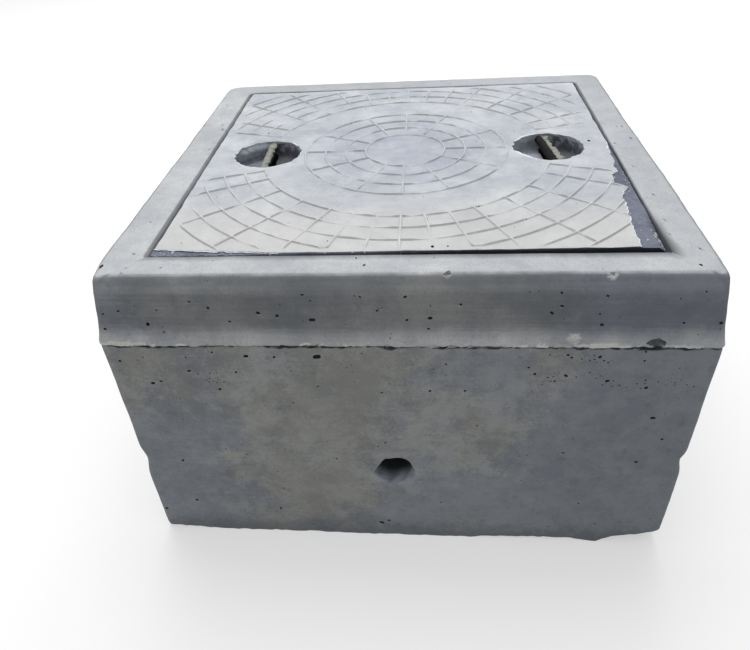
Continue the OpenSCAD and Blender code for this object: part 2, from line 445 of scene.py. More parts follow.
def photo_ray(across, down):
    """Direction from the camera through a pixel of the photograph."""
    return LOOK + RIGHT * (across - CENTRE_PX[0]) / FOCAL_PX + DOWN * (down - CENTRE_PX[1]) / FOCAL_PX


def seen_on(pixel, normal, point):
    """Where the ray through a pixel meets the plane through point."""
    ray = photo_ray(pixel[0], pixel[1])
    return EYE + ray * (((np.array(point) - EYE) @ normal) / (ray @ normal))


def raised(piece, centres, normals, radii):
    """Middles of hollows, with each one that lies buried moved to the nearest place on the surface.

    A middle is buried where the surface stands more than 0.4 of the hollow's radius outside it.
    """
    tree = BVHTree.FromObject(piece, bpy.context.evaluated_depsgraph_get())
    nearest = np.array([tree.find_nearest(centre / 1000)[0] for centre in centres]) * 1000
    outside = np.sum((nearest - centres) * normals, axis=1)
    return np.where((outside > 0.4 * radii)[:, None], nearest, centres)


def ball(around, over):
    """Points of a ball of radius 1 without its poles: over rings of so many points around."""
    lon = np.arange(around) * 2 * np.pi / around
    lat = (np.arange(over) + 1) * np.pi / (over + 1) - np.pi / 2
    flat = np.cos(lat)[:, None]
    return np.stack([flat * np.cos(lon), flat * np.sin(lon), np.repeat(np.sin(lat)[:, None], around, 1)], -1)


def pits(name, centres, normals, radii, seed):
    """Many small hollows as one mesh of closed balls.

    Each is a ball of 8 by 5 points, stretched at random along the face, squashed across it and
    made lumpy, with its middle a little under the face.
    """
    rng = np.random.default_rng(seed)
    count, around, over = len(centres), 8, 5
    points = np.concatenate([ball(around, over).reshape(-1, 3), POLES])
    lumps = 1 + rng.uniform(-0.18, 0.18, (count, len(points)))
    stretch = np.stack([rng.uniform(0.8, 1.5, count), rng.uniform(0.75, 1.05, count), np.full(count, 0.8)], -1)
    local = points[None] * lumps[..., None] * stretch[:, None] * radii[:, None, None]
    helper = np.where(np.abs(normals[:, 2:]) < 0.9, [[0, 0, 1.0]], [[1.0, 0, 0]])
    first = np.cross(helper, normals)
    first /= np.linalg.norm(first, axis=1)[:, None]
    second = np.cross(normals, first)
    spin = rng.normal(0, 0.35, count)[:, None]
    u = first * np.cos(spin) + second * np.sin(spin)
    v = second * np.cos(spin) - first * np.sin(spin)
    places = np.einsum("pki,pij->pkj", local, np.stack([u, v, normals], 1))
    places += centres[:, None] - normals[:, None] * (radii * 0.15)[:, None, None]
    triangles = grid_triangles(over, around, True)[None] + (np.arange(count) * len(points))[:, None, None]
    return put_mesh(name, places.reshape(-1, 3), triangles.reshape(-1, 3))


def apart(centres, radii):
    """Keeps of a list of balls those that touch none before them."""
    kept = []
    for i in range(len(centres)):
        if kept:
            gap = np.linalg.norm(centres[kept] - centres[i], axis=1) - 1.9 * (radii[kept] + radii[i])
            if gap.min() < 0:
                continue
        kept.append(i)
    return np.array(kept)


# Materials


def add(tree, kind, inputs=(), **settings):
    """Adds a node with its settings and gives its outputs.

    Inputs are given by place or by name. A socket is linked, and anything else is set.
    """
    node = tree.nodes.new("ShaderNode" + kind)
    for name, value in settings.items():
        setattr(node, name, value)
    for place, value in inputs.items() if isinstance(inputs, dict) else enumerate(inputs):
        if isinstance(value, bpy.types.NodeSocket):
            tree.links.new(value, node.inputs[place])
        else:
            node.inputs[place].default_value = value
    return node.outputs


def new_material(name):
    """Empty material with its node tree and the object's own coordinates."""
    material = bpy.data.materials.new(name)
    material.use_nodes = True
    material.node_tree.nodes.clear()
    return material, material.node_tree, add(material.node_tree, "TexCoord")["Object"]


def patterns(tree, coords, **kinds):
    """Noise patterns by name.

    Each is given as the size of its largest lumps in millimetres, its detail, its roughness and,
    if it is stretched, its scale along the three axes.
    """
    made = {}
    for name, (size_mm, detail, roughness, *stretch) in kinds.items():
        place = add(tree, "Mapping", {"Vector": coords, "Scale": stretch[0]})[0] if stretch else coords
        shape = {"Vector": place, "Scale": 1000 / size_mm, "Detail": detail, "Roughness": roughness}
        made[name] = add(tree, "TexNoise", shape)["Fac"]
    return SimpleNamespace(**made)


def summed(tree, *terms):
    """Sum of sockets, each times its weight."""
    total = 0.0
    for source, weight in terms:
        total = add(tree, "Math", (source, weight, total), operation="MULTIPLY_ADD")[0]
    return total


def paint(tree, base, colour, source, span=(0, 1), share=(0, 1), within=None, blend="MIX"):
    """Lays a colour over base. Its share runs from one end of share to the other while the source
    runs through span, and is multiplied by within."""
    part = add(tree, "MapRange", (source, *span, *share), clamp=True)[0]
    if within is not None:
        part = add(tree, "Math", (part, within), operation="MULTIPLY")[0]
    first, second = (c if isinstance(c, bpy.types.NodeSocket) else (*c, 1) for c in (base, colour))
    return add(tree, "Mix", {0: part, 6: first, 7: second}, data_type="RGBA", blend_type=blend)[2]


def pores(tree, coords, spacing_mm, radius_mm, share, seed=0.0):
    """1 in small round pores, 0 outside: cells spacing_mm apart, of which a share holds a pore."""
    size = radius_mm / spacing_mm
    moved = add(tree, "Mapping", {"Vector": coords, "Location": (seed, seed * 0.7, seed * 1.3)})[0]
    cells = add(tree, "TexVoronoi", {"Vector": moved, "Scale": 1000 / spacing_mm})
    chance = add(tree, "SeparateColor", (cells["Color"],))[0]
    reach = add(tree, "MapRange", (chance, 1 - share, 1, 0, size), clamp=True)[0]
    inside = add(tree, "Math", (reach, cells["Distance"]), operation="SUBTRACT")[0]
    return add(tree, "MapRange", (inside, 0, 0.25 * size, 0, 1), clamp=True)[0]


def close_material(tree, base, height, grain, grain_mm, roughness, specular=0.3):
    """Ends a material: the height as bump of a strength and depth, and a matt surface over it."""
    bump = add(tree, "Bump", {"Strength": grain, "Distance": grain_mm / 1000, "Height": height})["Normal"]
    look = {"Base Color": base, "Roughness": roughness, "IOR": 1.5, "Specular IOR Level": specular, "Normal": bump}
    add(tree, "OutputMaterial", {"Surface": add(tree, "BsdfPrincipled", look)[0]})


def darker(colour, share):
    """A colour with each part cut to a share of itself."""
    return [part * share for part in colour]


def concrete(name, light, dark, tints=None, skin=None, flecks=None, grain=0.5):
    """Precast concrete, cast in a steel mould.

    It has soft clouds of damper and drier cement, finer mottling, faint lines along the mould,
    a fine sandy grain, and pores of half a millimetre and more, painted dark with dirt and painted
    shade in them. Where the attribute pale rises, a dry pale cement skin lies over it, on upward
    faces also painted light from above, and above 1 chalky cement does. Where seam rises, the colour
    is painted near black: dirt and painted shadow in the crack under the mould joint, painted shade
    in gaps, holes and pockets.
    """
    material, tree, coords = new_material(name)
    x, y, z = add(tree, "SeparateXYZ", (coords,))
    pale = add(tree, "Attribute", attribute_name="pale")["Fac"]
    seam = add(tree, "Attribute", attribute_name="seam")["Fac"]
    look = patterns(
        tree,
        coords,
        clouds=(95, 3, 0.55),
        patches=(24, 5, 0.62),
        lines=(16, 4, 0.62, (0.25, 0.25, 6)),
        mottle=(8, 4, 0.6),
        sand=(2.6, 4, 0.7),
        speck=(0.9, 2, 0.6),
    )
    tone = summed(
        tree, (look.clouds, 0.9), (look.patches, 0.75), (look.lines, 0.25), (look.sand, 0.6), (look.mottle, 0.6)
    )
    base = paint(tree, dark, light, tone, (1.36, 1.72))
    if tints:
        # Warm and cool clouds by place, blots, a damp foot and a bluer collar
        more = patterns(tree, coords, hue=(70, 4, 0.6), blots=(13, 5, 0.65))
        aside = add(tree, "Math", (x, 2.3, 0.161), operation="MULTIPLY_ADD")[0]
        aside = add(tree, "Math", (aside, 2.0), operation="POWER")[0]
        lean = summed(tree, (aside, 1), (z, -0.6), (more.hue, 0.8))
        base = paint(tree, base, tints[0], lean, (0.4, 0.28), (0, 0.55))
        base = paint(tree, base, tints[1], lean, (0.34, 0.52), (0, 0.65))
        base = paint(tree, base, linear("5A5D60"), more.blots, (0.58, 0.72), (0, 0.3))
        foot = summed(tree, (z, 1), (look.mottle, -0.06))
        base = paint(tree, base, linear("585E68"), foot, (-0.004, -0.022), (0, 0.45))
        clouded = add(tree, "MapRange", (look.clouds, 0.38, 0.62, 0.62, 0.4), clamp=True)[0]
        lined = add(tree, "MapRange", (look.lines, 0.35, 0.65, 0.05, -0.05), clamp=True)[0]
        shade = summed(tree, (clouded, 1), (lined, 1))
        base = paint(tree, base, linear("5A606C"), z, (0.24, 0.256), within=shade)
        base = paint(tree, base, linear("4C525C"), x, (0.02, 0.2), (0, 0.2))
    if skin:
        # The dry skin of the rim, on upward faces also painted light from above, its flash, smears, and the shade
        # towards the back and the right
        smear = patterns(tree, coords, smear=(11, 5, 0.7, (1, 1.6, 1))).smear
        cover = summed(tree, (pale, 1), (look.patches, 0.3), (look.lines, 0.2))
        cover = add(tree, "MapRange", (cover, 0.3, 1.2, 0, 1), clamp=True)[0]
        base = paint(tree, base, paint(tree, skin[1], skin[0], tone, (1.25, 1.8)), cover)
        base = paint(tree, base, skin[2], pale, (1.05, 1.15))
        base = paint(tree, base, linear("8F9490"), smear, (0.6, 0.75), (0, 0.22))
        for axis, start, share in ((y, 0.16, 0.4), (x, 0.19, 0.3)):
            base = paint(tree, base, linear("A2A8AE"), axis, (start, 0.22), (0, share), cover)
    if flecks is not None:
        flake = patterns(tree, coords, flake=(4.5, 4, 0.7)).flake
        base = paint(tree, base, flecks, summed(tree, (flake, 1), (pale, 0.16)), (0.62, 0.68), (0, 0.8))
    # Painted near black where seam rises: dirt and painted shadow in the crack, painted shade in gaps, holes and
    # pockets
    base = paint(tree, base, linear("131416"), seam)
    small = pores(tree, coords, 6.5, 0.75, 0.35)
    large = pores(tree, coords, 17, 1.15, 0.3, 0.31)
    holes = add(tree, "Math", (small, large), operation="MAXIMUM")[0]
    # Pores painted dark: dirt and painted shade inside them
    base = paint(tree, base, darker(dark, 0.18), holes, share=(0, 0.75))
    base = paint(tree, base, darker(dark, 0.45), look.speck, (0.4, 0.7), (0, 0.26))
    height = summed(tree, (look.sand, 0.35), (look.patches, 0.8), (holes, -0.9))
    close_material(tree, base, height, grain, 0.6, 0.88)
    return material


def lid_skin(finish):
    """Pale dry cement skin of the lid's face, trowelled into the mould.

    White-grey with soft greyer clouds, fine scratches, a sandy grain and worn yellowish rib
    crests, also painted as a highlight on the ribs' tops, where the attribute crest rises, and dirt
    with painted shade beside the ribs, darkest on the flanks that face the front, where
    flank_dirt_and_shade does.
    """
    material, tree, coords = new_material("cement_skin_on_lid")
    look = patterns(
        tree,
        coords,
        clouds=(80, 4, 0.6),
        dust=(45, 5, 0.65),
        patches=(14, 5, 0.65),
        scratch=(14, 3, 0.6, (0.5, 7, 1)),
        sand=(2.2, 4, 0.7),
    )
    tone = summed(tree, (look.clouds, 1), (look.patches, 0.9), (look.sand, 0.7), (look.scratch, 0.3))
    base = paint(tree, finish.skin_shade, finish.skin, tone, (1.2, 1.72))
    base = paint(tree, base, finish.flake, look.dust, (0.48, 0.64), (0, 0.3))
    middle = add(tree, "VectorMath", (coords, (0, 0.01, 0.3)), operation="DISTANCE")["Value"]
    base = paint(tree, base, linear("D4DCE8"), middle, (0.05, 0.15), (0.5, 0.1), blend="MULTIPLY")
    to_back = add(tree, "SeparateXYZ", (coords,))[1]
    base = paint(tree, base, linear("CFCDC8"), to_back, (-0.08, -0.16), (0, 0.5))
    # Crests painted pale for wear and a painted highlight; flanks painted darker for dirt and painted shade
    for name, colour, span, share in (
        ("crest", finish.crest, (0.35, 0.6), (0.55, 1)),
        ("flank_dirt_and_shade", linear("6E706A"), (0.35, 0.55), (0.4, 1)),
    ):
        kept = add(tree, "Attribute", attribute_name=name)["Fac"]
        base = paint(tree, base, colour, look.patches, span, share, kept)
    # Pores painted dark: dirt and painted shade inside them
    holes = pores(tree, coords, 8, 0.6, 0.25)
    base = paint(tree, base, linear("4A4D52"), holes, share=(0, 0.7))
    height = summed(tree, (look.sand, 0.5), (look.patches, 0.9), (holes, -1))
    close_material(tree, base, height, 0.5, 0.6, 0.85)
    return material


def coated_steel(finish):
    """Hot-rolled steel bar with cement slurry dried on it: matt, pale and rough where the attribute
    crust is 1, dark with rust-brown specks where it is 0."""
    material, tree, coords = new_material("steel_bar_with_cement_crust")
    look = patterns(tree, coords, patches=(6, 4, 0.65), stains=(4, 3, 0.7), sand=(1.2, 3, 0.7))
    steel = paint(tree, finish.steel, linear("2C2825"), look.patches, (0.45, 0.7))
    crust = paint(tree, linear("87877D"), finish.crust, look.sand, (0.3, 0.6))
    crust = paint(tree, crust, linear("55554F"), look.stains, (0.5, 0.62), (0, 0.65))
    kept = add(tree, "Attribute", attribute_name="crust")["Fac"]
    cover = summed(tree, (kept, 1), (look.patches, 1.1))
    cover = add(tree, "MapRange", (cover, 0.95, 1.2, 0, 1), clamp=True)[0]
    base = paint(tree, steel, crust, cover)
    base = paint(tree, base, linear("4B4436"), pores(tree, coords, 3.2, 0.5, 0.5), share=(0, 0.7))
    close_material(tree, base, summed(tree, (look.sand, 0.5), (cover, 1)), 0.7, 0.5, 0.8, 0.1)
    return material


# The chamber


def stretch_of(start, end, step):
    """Rows from start up to but not with end, no further apart than step."""
    start, end = np.array(start, float), np.array(end, float)
    count = max(1, math.ceil(np.abs(end - start)[[0, 2]].max() / step))
    return start + (end - start) * (np.arange(count) / count)[:, None]


def chamber_rows(s):
    """Profile of the chamber: half width, corner radius, height and how wavy the face is.

    It runs up the outer wall, past the mould joint, up the leaning collar, round the top edge,
    over the rim, down the rebate, across the ledge, down the cavity and back along the ground.
    """
    top_half = s.wall - s.lean - s.top_round
    foot = (s.cavity + s.draft, s.cavity_corner + s.draft)
    arc = np.linspace(0, np.pi / 2, 8)
    rounding = np.stack(
        [
            top_half + s.top_round * np.cos(arc),
            s.corner + 2 + 2.5 * np.sin(arc),
            s.height - s.top_round * (1 - np.sin(arc)),
        ],
        -1,
    )
    wall, joint, corner = s.wall, s.joint, s.corner
    seam = [(wall, corner, joint + dz) for dz in (-5.6, -4.4, -3.4, -2.6, -2.0, -1.5, -1.0, -0.5, 0.0, 0.4, 1.0)]
    worn = [
        (s.opening + 1.5, s.opening_corner - 1.2, s.height),
        (s.opening + 0.6, s.opening_corner - 0.5, s.height - 0.4),
        (s.opening + 0.1, s.opening_corner, s.height - 1.4),
        (s.opening, s.opening_corner, s.height - 2.6),
    ]
    parts = [
        (stretch_of((wall, corner, 0), (wall, corner, 10), 1.6), 1.0),
        (stretch_of((wall, corner, 10), (wall, corner, 84), 8.0), 1.0),
        (stretch_of((wall, corner, 84), (wall, corner, 132), 4.0), 1.0),
        (stretch_of((wall, corner, 132), (wall, corner, joint - 5.6), 8.0), 1.0),
        (np.array(seam), 1.0),
        (stretch_of((wall, corner, joint + 1.6), (wall - s.lean * 0.3, corner + 0.6, joint + 15), 1.6), 1.0),
        (stretch_of((wall - s.lean * 0.3, corner + 0.6, joint + 15), rounding[0], 3.0), 1.0),
        (rounding, 0.8),
        (stretch_of(rounding[-1] - (2.5, 0, 0), (s.opening + 3.4, s.opening_corner - 3, s.height), 3.0), 0.8),
        (np.array(worn), 0.3),
        (stretch_of((s.opening, s.opening_corner, s.height - 5), (s.opening, s.opening_corner, s.seat), 8.0), 0.3),
        (stretch_of((s.opening, s.opening_corner, s.seat), (s.cavity, s.cavity_corner, s.seat), 9.0), 0.0),
        (stretch_of((s.cavity, s.cavity_corner, s.seat), (*foot, 0), 24.0), 1.0),
        (stretch_of((*foot, 0), (wall, corner, 0), 14.0), 0.3),
    ]
    rows = np.concatenate([part for part, _ in parts])
    wave = np.concatenate([np.full(len(part), weight) for part, weight in parts])
    inside = np.zeros(len(rows), bool)
    inside[sum(len(part) for part, _ in parts[:9]) :] = True
    return rows, wave, inside


def mould_flash(s, above, along):
    """How far the mould joint pushes the face out and lifts it, by height above the joint.

    Above the joint the face swells into a lip whose size changes along it, and below it runs a
    groove of changing depth. The joint itself goes up and down in a jagged line.
    """
    loop = along[-1]
    swell = np.clip(0.7 + 0.3 * ragged(along, 60, 21, loop) + 0.3 * ragged(along, 6, 22, loop), 0.15, 1)
    jag = 1.1 * ragged(along, 7, 23, loop) + 1.0 * ragged(along, 3.2, 24, loop) + 0.9 * ragged(along, 45, 25, loop)
    lip = np.where(above > -0.2, np.exp(-np.maximum(above, 0) / 5.5), 0) * ease(above, 17, 9)
    crack = np.clip(0.55 + 0.6 * ragged(along, 13, 26, loop) + 0.25 * ragged(along, 3, 27, loop), 0.1, 1)
    groove = ease(above, -2.8, -1.2) * ease(above, -0.1, -0.5)
    return lip * (swell * s.lip)[None] - groove * crack[None] * 2.2, (jag * 0.9)[None] * ease(np.abs(above), 8, 1)


def broken_ground_edge(s, outline, along):
    """How far the ground edge is broken upwards at each column: as seen in front, seeded elsewhere."""
    x, y = outline[:, 0], outline[:, 1]
    loop = along[-1]
    seen = np.interp(x, *np.array(GROUND_EDGE).T)
    other = 1.2 + 1.4 * ragged(along, 38, 31, loop) + 0.8 * ragged(along, 11, 32, loop)
    at_right = 14 * np.exp(-np.maximum(y + s.wall, 0) / 16) * (x > s.wall - 9)
    raised_by = np.where(y < -s.wall + 9, seen, np.maximum(other + at_right, 0))
    return np.maximum(raised_by + 0.7 * ragged(along, 5, 33, loop), 0)


def worn_edges(s, outline, headings, half, height, outer):
    """How far the collar's worn edges and the dirt in the lid's gaps push the face outwards.

    The front's top edge is rounded further back, the left one leans less, and the right one more
    at the back. The opening's front edge lies further forward, and dirt fills the gap at the sides.
    """
    y = outline[:, 1]
    to_front = np.maximum(-headings[:, 1], 0) ** 2
    to_left, to_right = (np.maximum(sign * headings[:, 0], 0) ** 2 for sign in (-1, 1))
    rim_share = ease(half, s.opening + 4, s.wall - s.lean - s.top_round) * outer
    high = ease(height, s.height - 48, s.height - 10) * rim_share
    left_edge = to_left * (2.5 + 1.1 * ease(y, 0, -190)) * (0.2 + 0.8 * ease(y, -s.wall + 2, -s.wall + 32))
    right_edge = to_right * (0.3 + 1.7 * ease(y, -60, 120) - 0.3 * ease(y, -s.wall + 30, -160) * ease(y, 60, -60))
    push = (left_edge - right_edge)[None] * high
    push = push - (5.6 * to_front)[None] * ease(height, s.height - 15, s.height - 2) * rim_share
    at_opening = (half > s.opening - 0.01) & (half < s.opening + 4) & (height > s.seat - 0.1)
    front_edge = 1.7 + 1.5 * ease(half, s.opening + 0.05, s.opening + 1.5)
    push = push - to_front[None] * front_edge * ease(half, s.opening + 6, s.opening + 1.5) * at_opening
    dirt = to_left * 2.0 + to_right * 1.3 * ease(y, -60, 120)
    push = push - dirt[None] * ((np.abs(half - s.opening) < 0.01) & (height < s.height - 4) & (height > s.seat + 1))
    low_right = to_right * ease(y, -s.wall + 30, -s.wall + 6) * 1.3
    return push - low_right[None] * ease(height, s.joint - 8, s.joint) * (1 - high) * outer


def chamber_surface(s):
    """The chamber's casting as one closed surface.

    The profile is carried round the square and moved along its normal by slow and quick waves.
    Then come the flash at the mould joint, the broken ground edge, the dents in the front
    corners and the worn edges of the collar.
    """
    rows, wave, inside = chamber_rows(s)
    columns = square_columns(250, 90, 7)
    headings = columns[1]
    grid = carry(rows, columns)
    outline = carry(np.array([(s.wall, s.corner, 0.0)]), columns)[0]
    along = np.cumsum(np.linalg.norm(outline - np.roll(outline, 1, 0), axis=1))
    half, height, outer = rows[:, 0][:, None], rows[:, 2][:, None], ~inside[:, None]
    out, up = (part[:, None] for part in row_normals(rows))
    push = (waves(grid, 120, 11) * 0.9 + waves(grid, 34, 12) * 0.5 + waves(grid, 13, 13) * 0.3) * s.wave
    push *= wave[:, None]
    push -= np.where(height > s.height - 2, 0.45, 0.0) * (wave > 0)[:, None]
    push = np.where(np.abs(up) > 0.7, np.minimum(push, 0), push)
    flash_out, flash_lift = mould_flash(s, height - s.joint, along)
    out_push = out * push + flash_out * outer
    lift = up * push + flash_lift * outer
    raised_by = broken_ground_edge(s, outline, along)[None]
    ground = (height < 0.5) & ~outer
    lift = lift + raised_by * np.where(ground, ease(half, s.wall - 30, s.wall - 2), ease(height, 34, 0) ** 1.5 * outer)
    out_push = out_push - (0.25 + 0.12 * raised_by) * ease(height, 9, 0) ** 2 * outer
    for side, z, reach, deep in CORNER_DENTS:
        apart_by = (outline[:, 0] - side * s.wall) ** 2 + (outline[:, 1] + s.wall) ** 2
        out_push = out_push - deep * np.exp(-apart_by / 13**2) * np.exp(-(((height - z) / reach) ** 2)) * outer
    out_push = out_push + worn_edges(s, outline, headings, half, height, outer)
    grid[..., :2] += headings[None] * out_push[..., None]
    grid[..., :2] = np.clip(grid[..., :2], -s.wall - 1.4, s.wall + 1.4)
    grid[..., 2] = np.clip(grid[..., 2] + lift, 0, s.height)
    return closed_mesh("chamber_casting", grid)


def cable_hole(s):
    """Cutter for the cable hole: a tube whose outline is flat on top, straight at the upper left
    and round elsewhere, with a soft flare at the front face."""
    angle = np.linspace(0, 2 * np.pi, 72, endpoint=False)
    radius = np.full(72, s.hole_radius * 1.03)
    top = (s.hole_radius - 1.2) / np.maximum(np.sin(angle), 1e-3)
    slant = (s.hole_radius - 3.2) / np.maximum(np.cos(angle - np.radians(152)), 1e-3)
    radius = np.minimum(np.minimum(radius, top), slant)
    radius = radius + 0.35 * ragged(angle * s.hole_radius, 5, 41, 2 * np.pi * s.hole_radius)
    first = np.array([-6, -1, 0.4, 1.4, 3, 5.5, 8, 10.5, 13, 15.5, 18, 21, 25])
    depths = np.concatenate([first - s.wall, [-211.0, -203, -190, -175]])
    flare = np.array([2.2, 1.5, 0.7, 0.2, 0, 0, 0, 0, 0, 0, 0, 0, -0.1, -0.2, -0.3, -0.4, -0.4])
    radii = radius[None] + flare[:, None] * (1 + 0.5 * ragged(angle * 20, 9, 42, 2 * np.pi * 20))[None]
    grid = np.stack(
        [
            s.hole_across + radii * np.cos(angle),
            np.broadcast_to(depths[:, None], radii.shape),
            s.hole_height + radii * np.sin(angle),
        ],
        -1,
    )
    grid[..., 0] += 0.5 * waves(grid, 14, 43)
    grid[..., 2] += 0.4 * waves(grid, 11, 44)
    ends = [(s.hole_across, depths[0], s.hole_height), (s.hole_across, depths[-1], s.hole_height)]
    return closed_mesh("cable_hole_cutter", grid, ends)


def chamber_pits(s, piece):
    """All bug holes of the chamber: those seen in the photograph, and seeded ones on every face."""
    rng = np.random.default_rng(51)
    lean = np.array((0, -1, s.lean / (s.height - s.top_round - s.joint)))
    lean /= np.linalg.norm(lean)
    front, up = np.array((0, -1.0, 0)), np.array((0, 0, 1.0))
    centres, normals, radii = [], [], []
    for holes, normal, point in (
        (COLLAR_BUG_HOLES, lean, (0, -s.wall, s.joint)),
        (WALL_BUG_HOLES, front, (0, -s.wall, 0)),
        (RIM_BUG_HOLES, up, (0, 0, s.height - 0.4)),
    ):
        for hole in holes:
            centres.append(seen_on(hole, normal, point))
            normals.append(normal)
            radii.append(hole[2] * 0.88)
    for quarter, count in enumerate((70, 170, 190, 170)):
        turn = quarter * np.pi / 2
        across = rng.uniform(-1, 1, count) * (s.wall - 14)
        height = s.joint * rng.beta(0.75, 0.7, count) * 0.95 + 6
        on_collar = rng.random(count) < 0.3
        height = np.where(on_collar, rng.uniform(s.joint + 8, s.height - 14, count), height)
        depth = -s.wall + np.where(on_collar, s.lean * (height - s.joint) / (s.height - s.joint - 10), 0)
        place = np.stack([across, depth, height], -1)
        facing = np.where(on_collar[:, None], lean, front)
        centres.extend(spun(place, turn))
        normals.extend(spun(facing, turn))
        radii.extend(0.45 + 0.55 * rng.random(count) ** 2.5)
    for across, down, spread in POCKED:
        middle = seen_on((across, down), front, (0, -s.wall, 0))
        spots = rng.normal(0, spread, (16, 2))
        centres.extend(middle + np.column_stack([spots[:, 0], np.zeros(16), spots[:, 1] * 0.55]))
        normals.extend(np.tile(front, (16, 1)))
        radii.extend(rng.uniform(0.4, 0.85, 16))
    count = 26
    around = rng.uniform(0, 4, count)
    side = np.floor(around) * np.pi / 2
    across = (around % 1 * 2 - 1) * 215
    inward = rng.uniform(s.opening + 3, s.wall - s.lean - 9, count)
    centres.extend(spun(np.stack([across, -inward, np.full(count, s.height - 0.5)], -1), side))
    normals.extend(np.tile(up, (count, 1)))
    radii.extend(0.35 + 0.4 * rng.random(count) ** 2)
    centres, normals, radii = np.array(centres), np.array(normals), np.array(radii)
    centres = raised(piece, centres, normals, radii)
    kept = apart(centres, radii)
    return pits("bug_hole_cutter", centres[kept], normals[kept], radii[kept], 52)


def chip(name, centre, size, seed, lumps=0.3):
    """A lumpy ball for a broken-out chip or a blob: 20 by 12 points, scaled by size and roughened."""
    grid = ball(20, 12)
    rough = 1 + lumps * (0.5 * waves(grid, 1.1, seed) + 0.3 * waves(grid, 0.5, seed + 1))
    return closed_mesh(name, grid * rough[..., None] * size + centre, POLES * size + centre)


def chamber_pale(s, places, normals, chipped):
    """Where pale skin and painted top light lie on the chamber, from 0 to 1, and chalky cement, above 1.

    The skin is on what faces up, where it also stands for painted light from above, in a band above
    the mould joint, and a little on the chips. The cement is on flakes and bits of flash just above
    the joint, and on the blob.
    """
    x, y, z = places.T
    reach = np.maximum(np.abs(x), np.abs(y))
    inner_edge = reach < s.opening + 5
    # Upward faces are painted pale: cement skin and painted light from above
    upward = np.where(inner_edge, ease(normals[:, 2], 0.2, 0.7), ease(normals[:, 2], 0.8, 0.97))
    pale = upward * ((reach > s.opening - 1) & (z > s.seat + 2))
    above, along = z - s.joint, x + y
    over_joint = above > -1.5
    outer_face = over_joint & (reach > s.wall - 5)
    on_front = over_joint & (y < -s.wall + 6)
    strength = 0.88 + 0.2 * ragged(along, 40, 28) + 0.15 * ragged(along, 9, 35)
    fringe = ease(ragged(along, 17, 34), -0.1, 0.4) * ease(above, 3.4, 2.2)
    left_lip = (x < -201) & (above < 3.2 + ragged(along, 5, 30))
    bits = (ragged(along, 4.5, 29) > 0.84) & (above < 1.4)
    layers = [
        strength * ease(above, 25, 1) ** 1.4 * outer_face,
        fringe * outer_face * 0.95,
        left_lip * on_front * 1.2,
        bits * outer_face * 1.2,
        (np.linalg.norm(places - (133, -243, 249.5), axis=1) < 5) * 1.12,
    ]
    for place, half, high in SEAM_FLAKES:
        flake = (np.abs(x - place) < half + ragged(along, 3, 36)) & (above < high + 0.9 * ragged(along, 4, 37))
        layers.append(flake * on_front * 1.2)
    for middle in chipped:
        layers.append((np.linalg.norm(places - middle, axis=1) < 3.6) * 0.75)
    return np.max([pale, *layers], axis=0)


def chamber_dirt_and_shade(s, places, pale):
    """Where dirt and painted shade lie, from 0 to 1.

    Dirt and painted shadow lie in the crack under the mould joint, painted shade in the gap round the
    lid and far inside the cable hole, and a darker smudge beside the opening's front right corner.
    """
    x, y, z = places.T
    reach = np.maximum(np.abs(x), np.abs(y))
    above, along = z - s.joint, x + y
    thick = np.clip(2.4 + 1.3 * ragged(along, 13, 26) + 0.9 * ragged(along, 3.2, 27), 0.6, 5)
    # Dirt and painted shadow in the crack under the lip of the mould joint
    crack = ease(above, -thick - 0.8, -thick) * ease(above, 0.3, -0.5) * (reach > s.wall - 5) * (pale < 0.8)
    # Painted shade growing down into the gap round the lid
    gap = ease(z, s.height - 1.2, s.height - 3.4) * (reach < s.opening + 1) * (z > s.seat - 2)
    gap *= 1 - 0.65 * (np.abs(x) > np.abs(y))
    smudge = ease(x - s.opening, 5 + 6 * ease(y, -170, -200), 0.5) * ease(y, -110, -190) * ease(y, -214, -203)
    smudge *= (x > s.opening - 1) & (z > s.height - 3)
    # Painted shade growing deeper inside the cable hole
    in_hole = np.hypot(x - s.hole_across, z - s.hole_height) < s.hole_radius + 3
    depth = ease(y, -s.wall + 5, -s.wall + 21) * in_hole * (y < 0)
    return np.max([crack * 0.95, gap * 0.88, smudge * 0.72, depth * 0.93], axis=0)


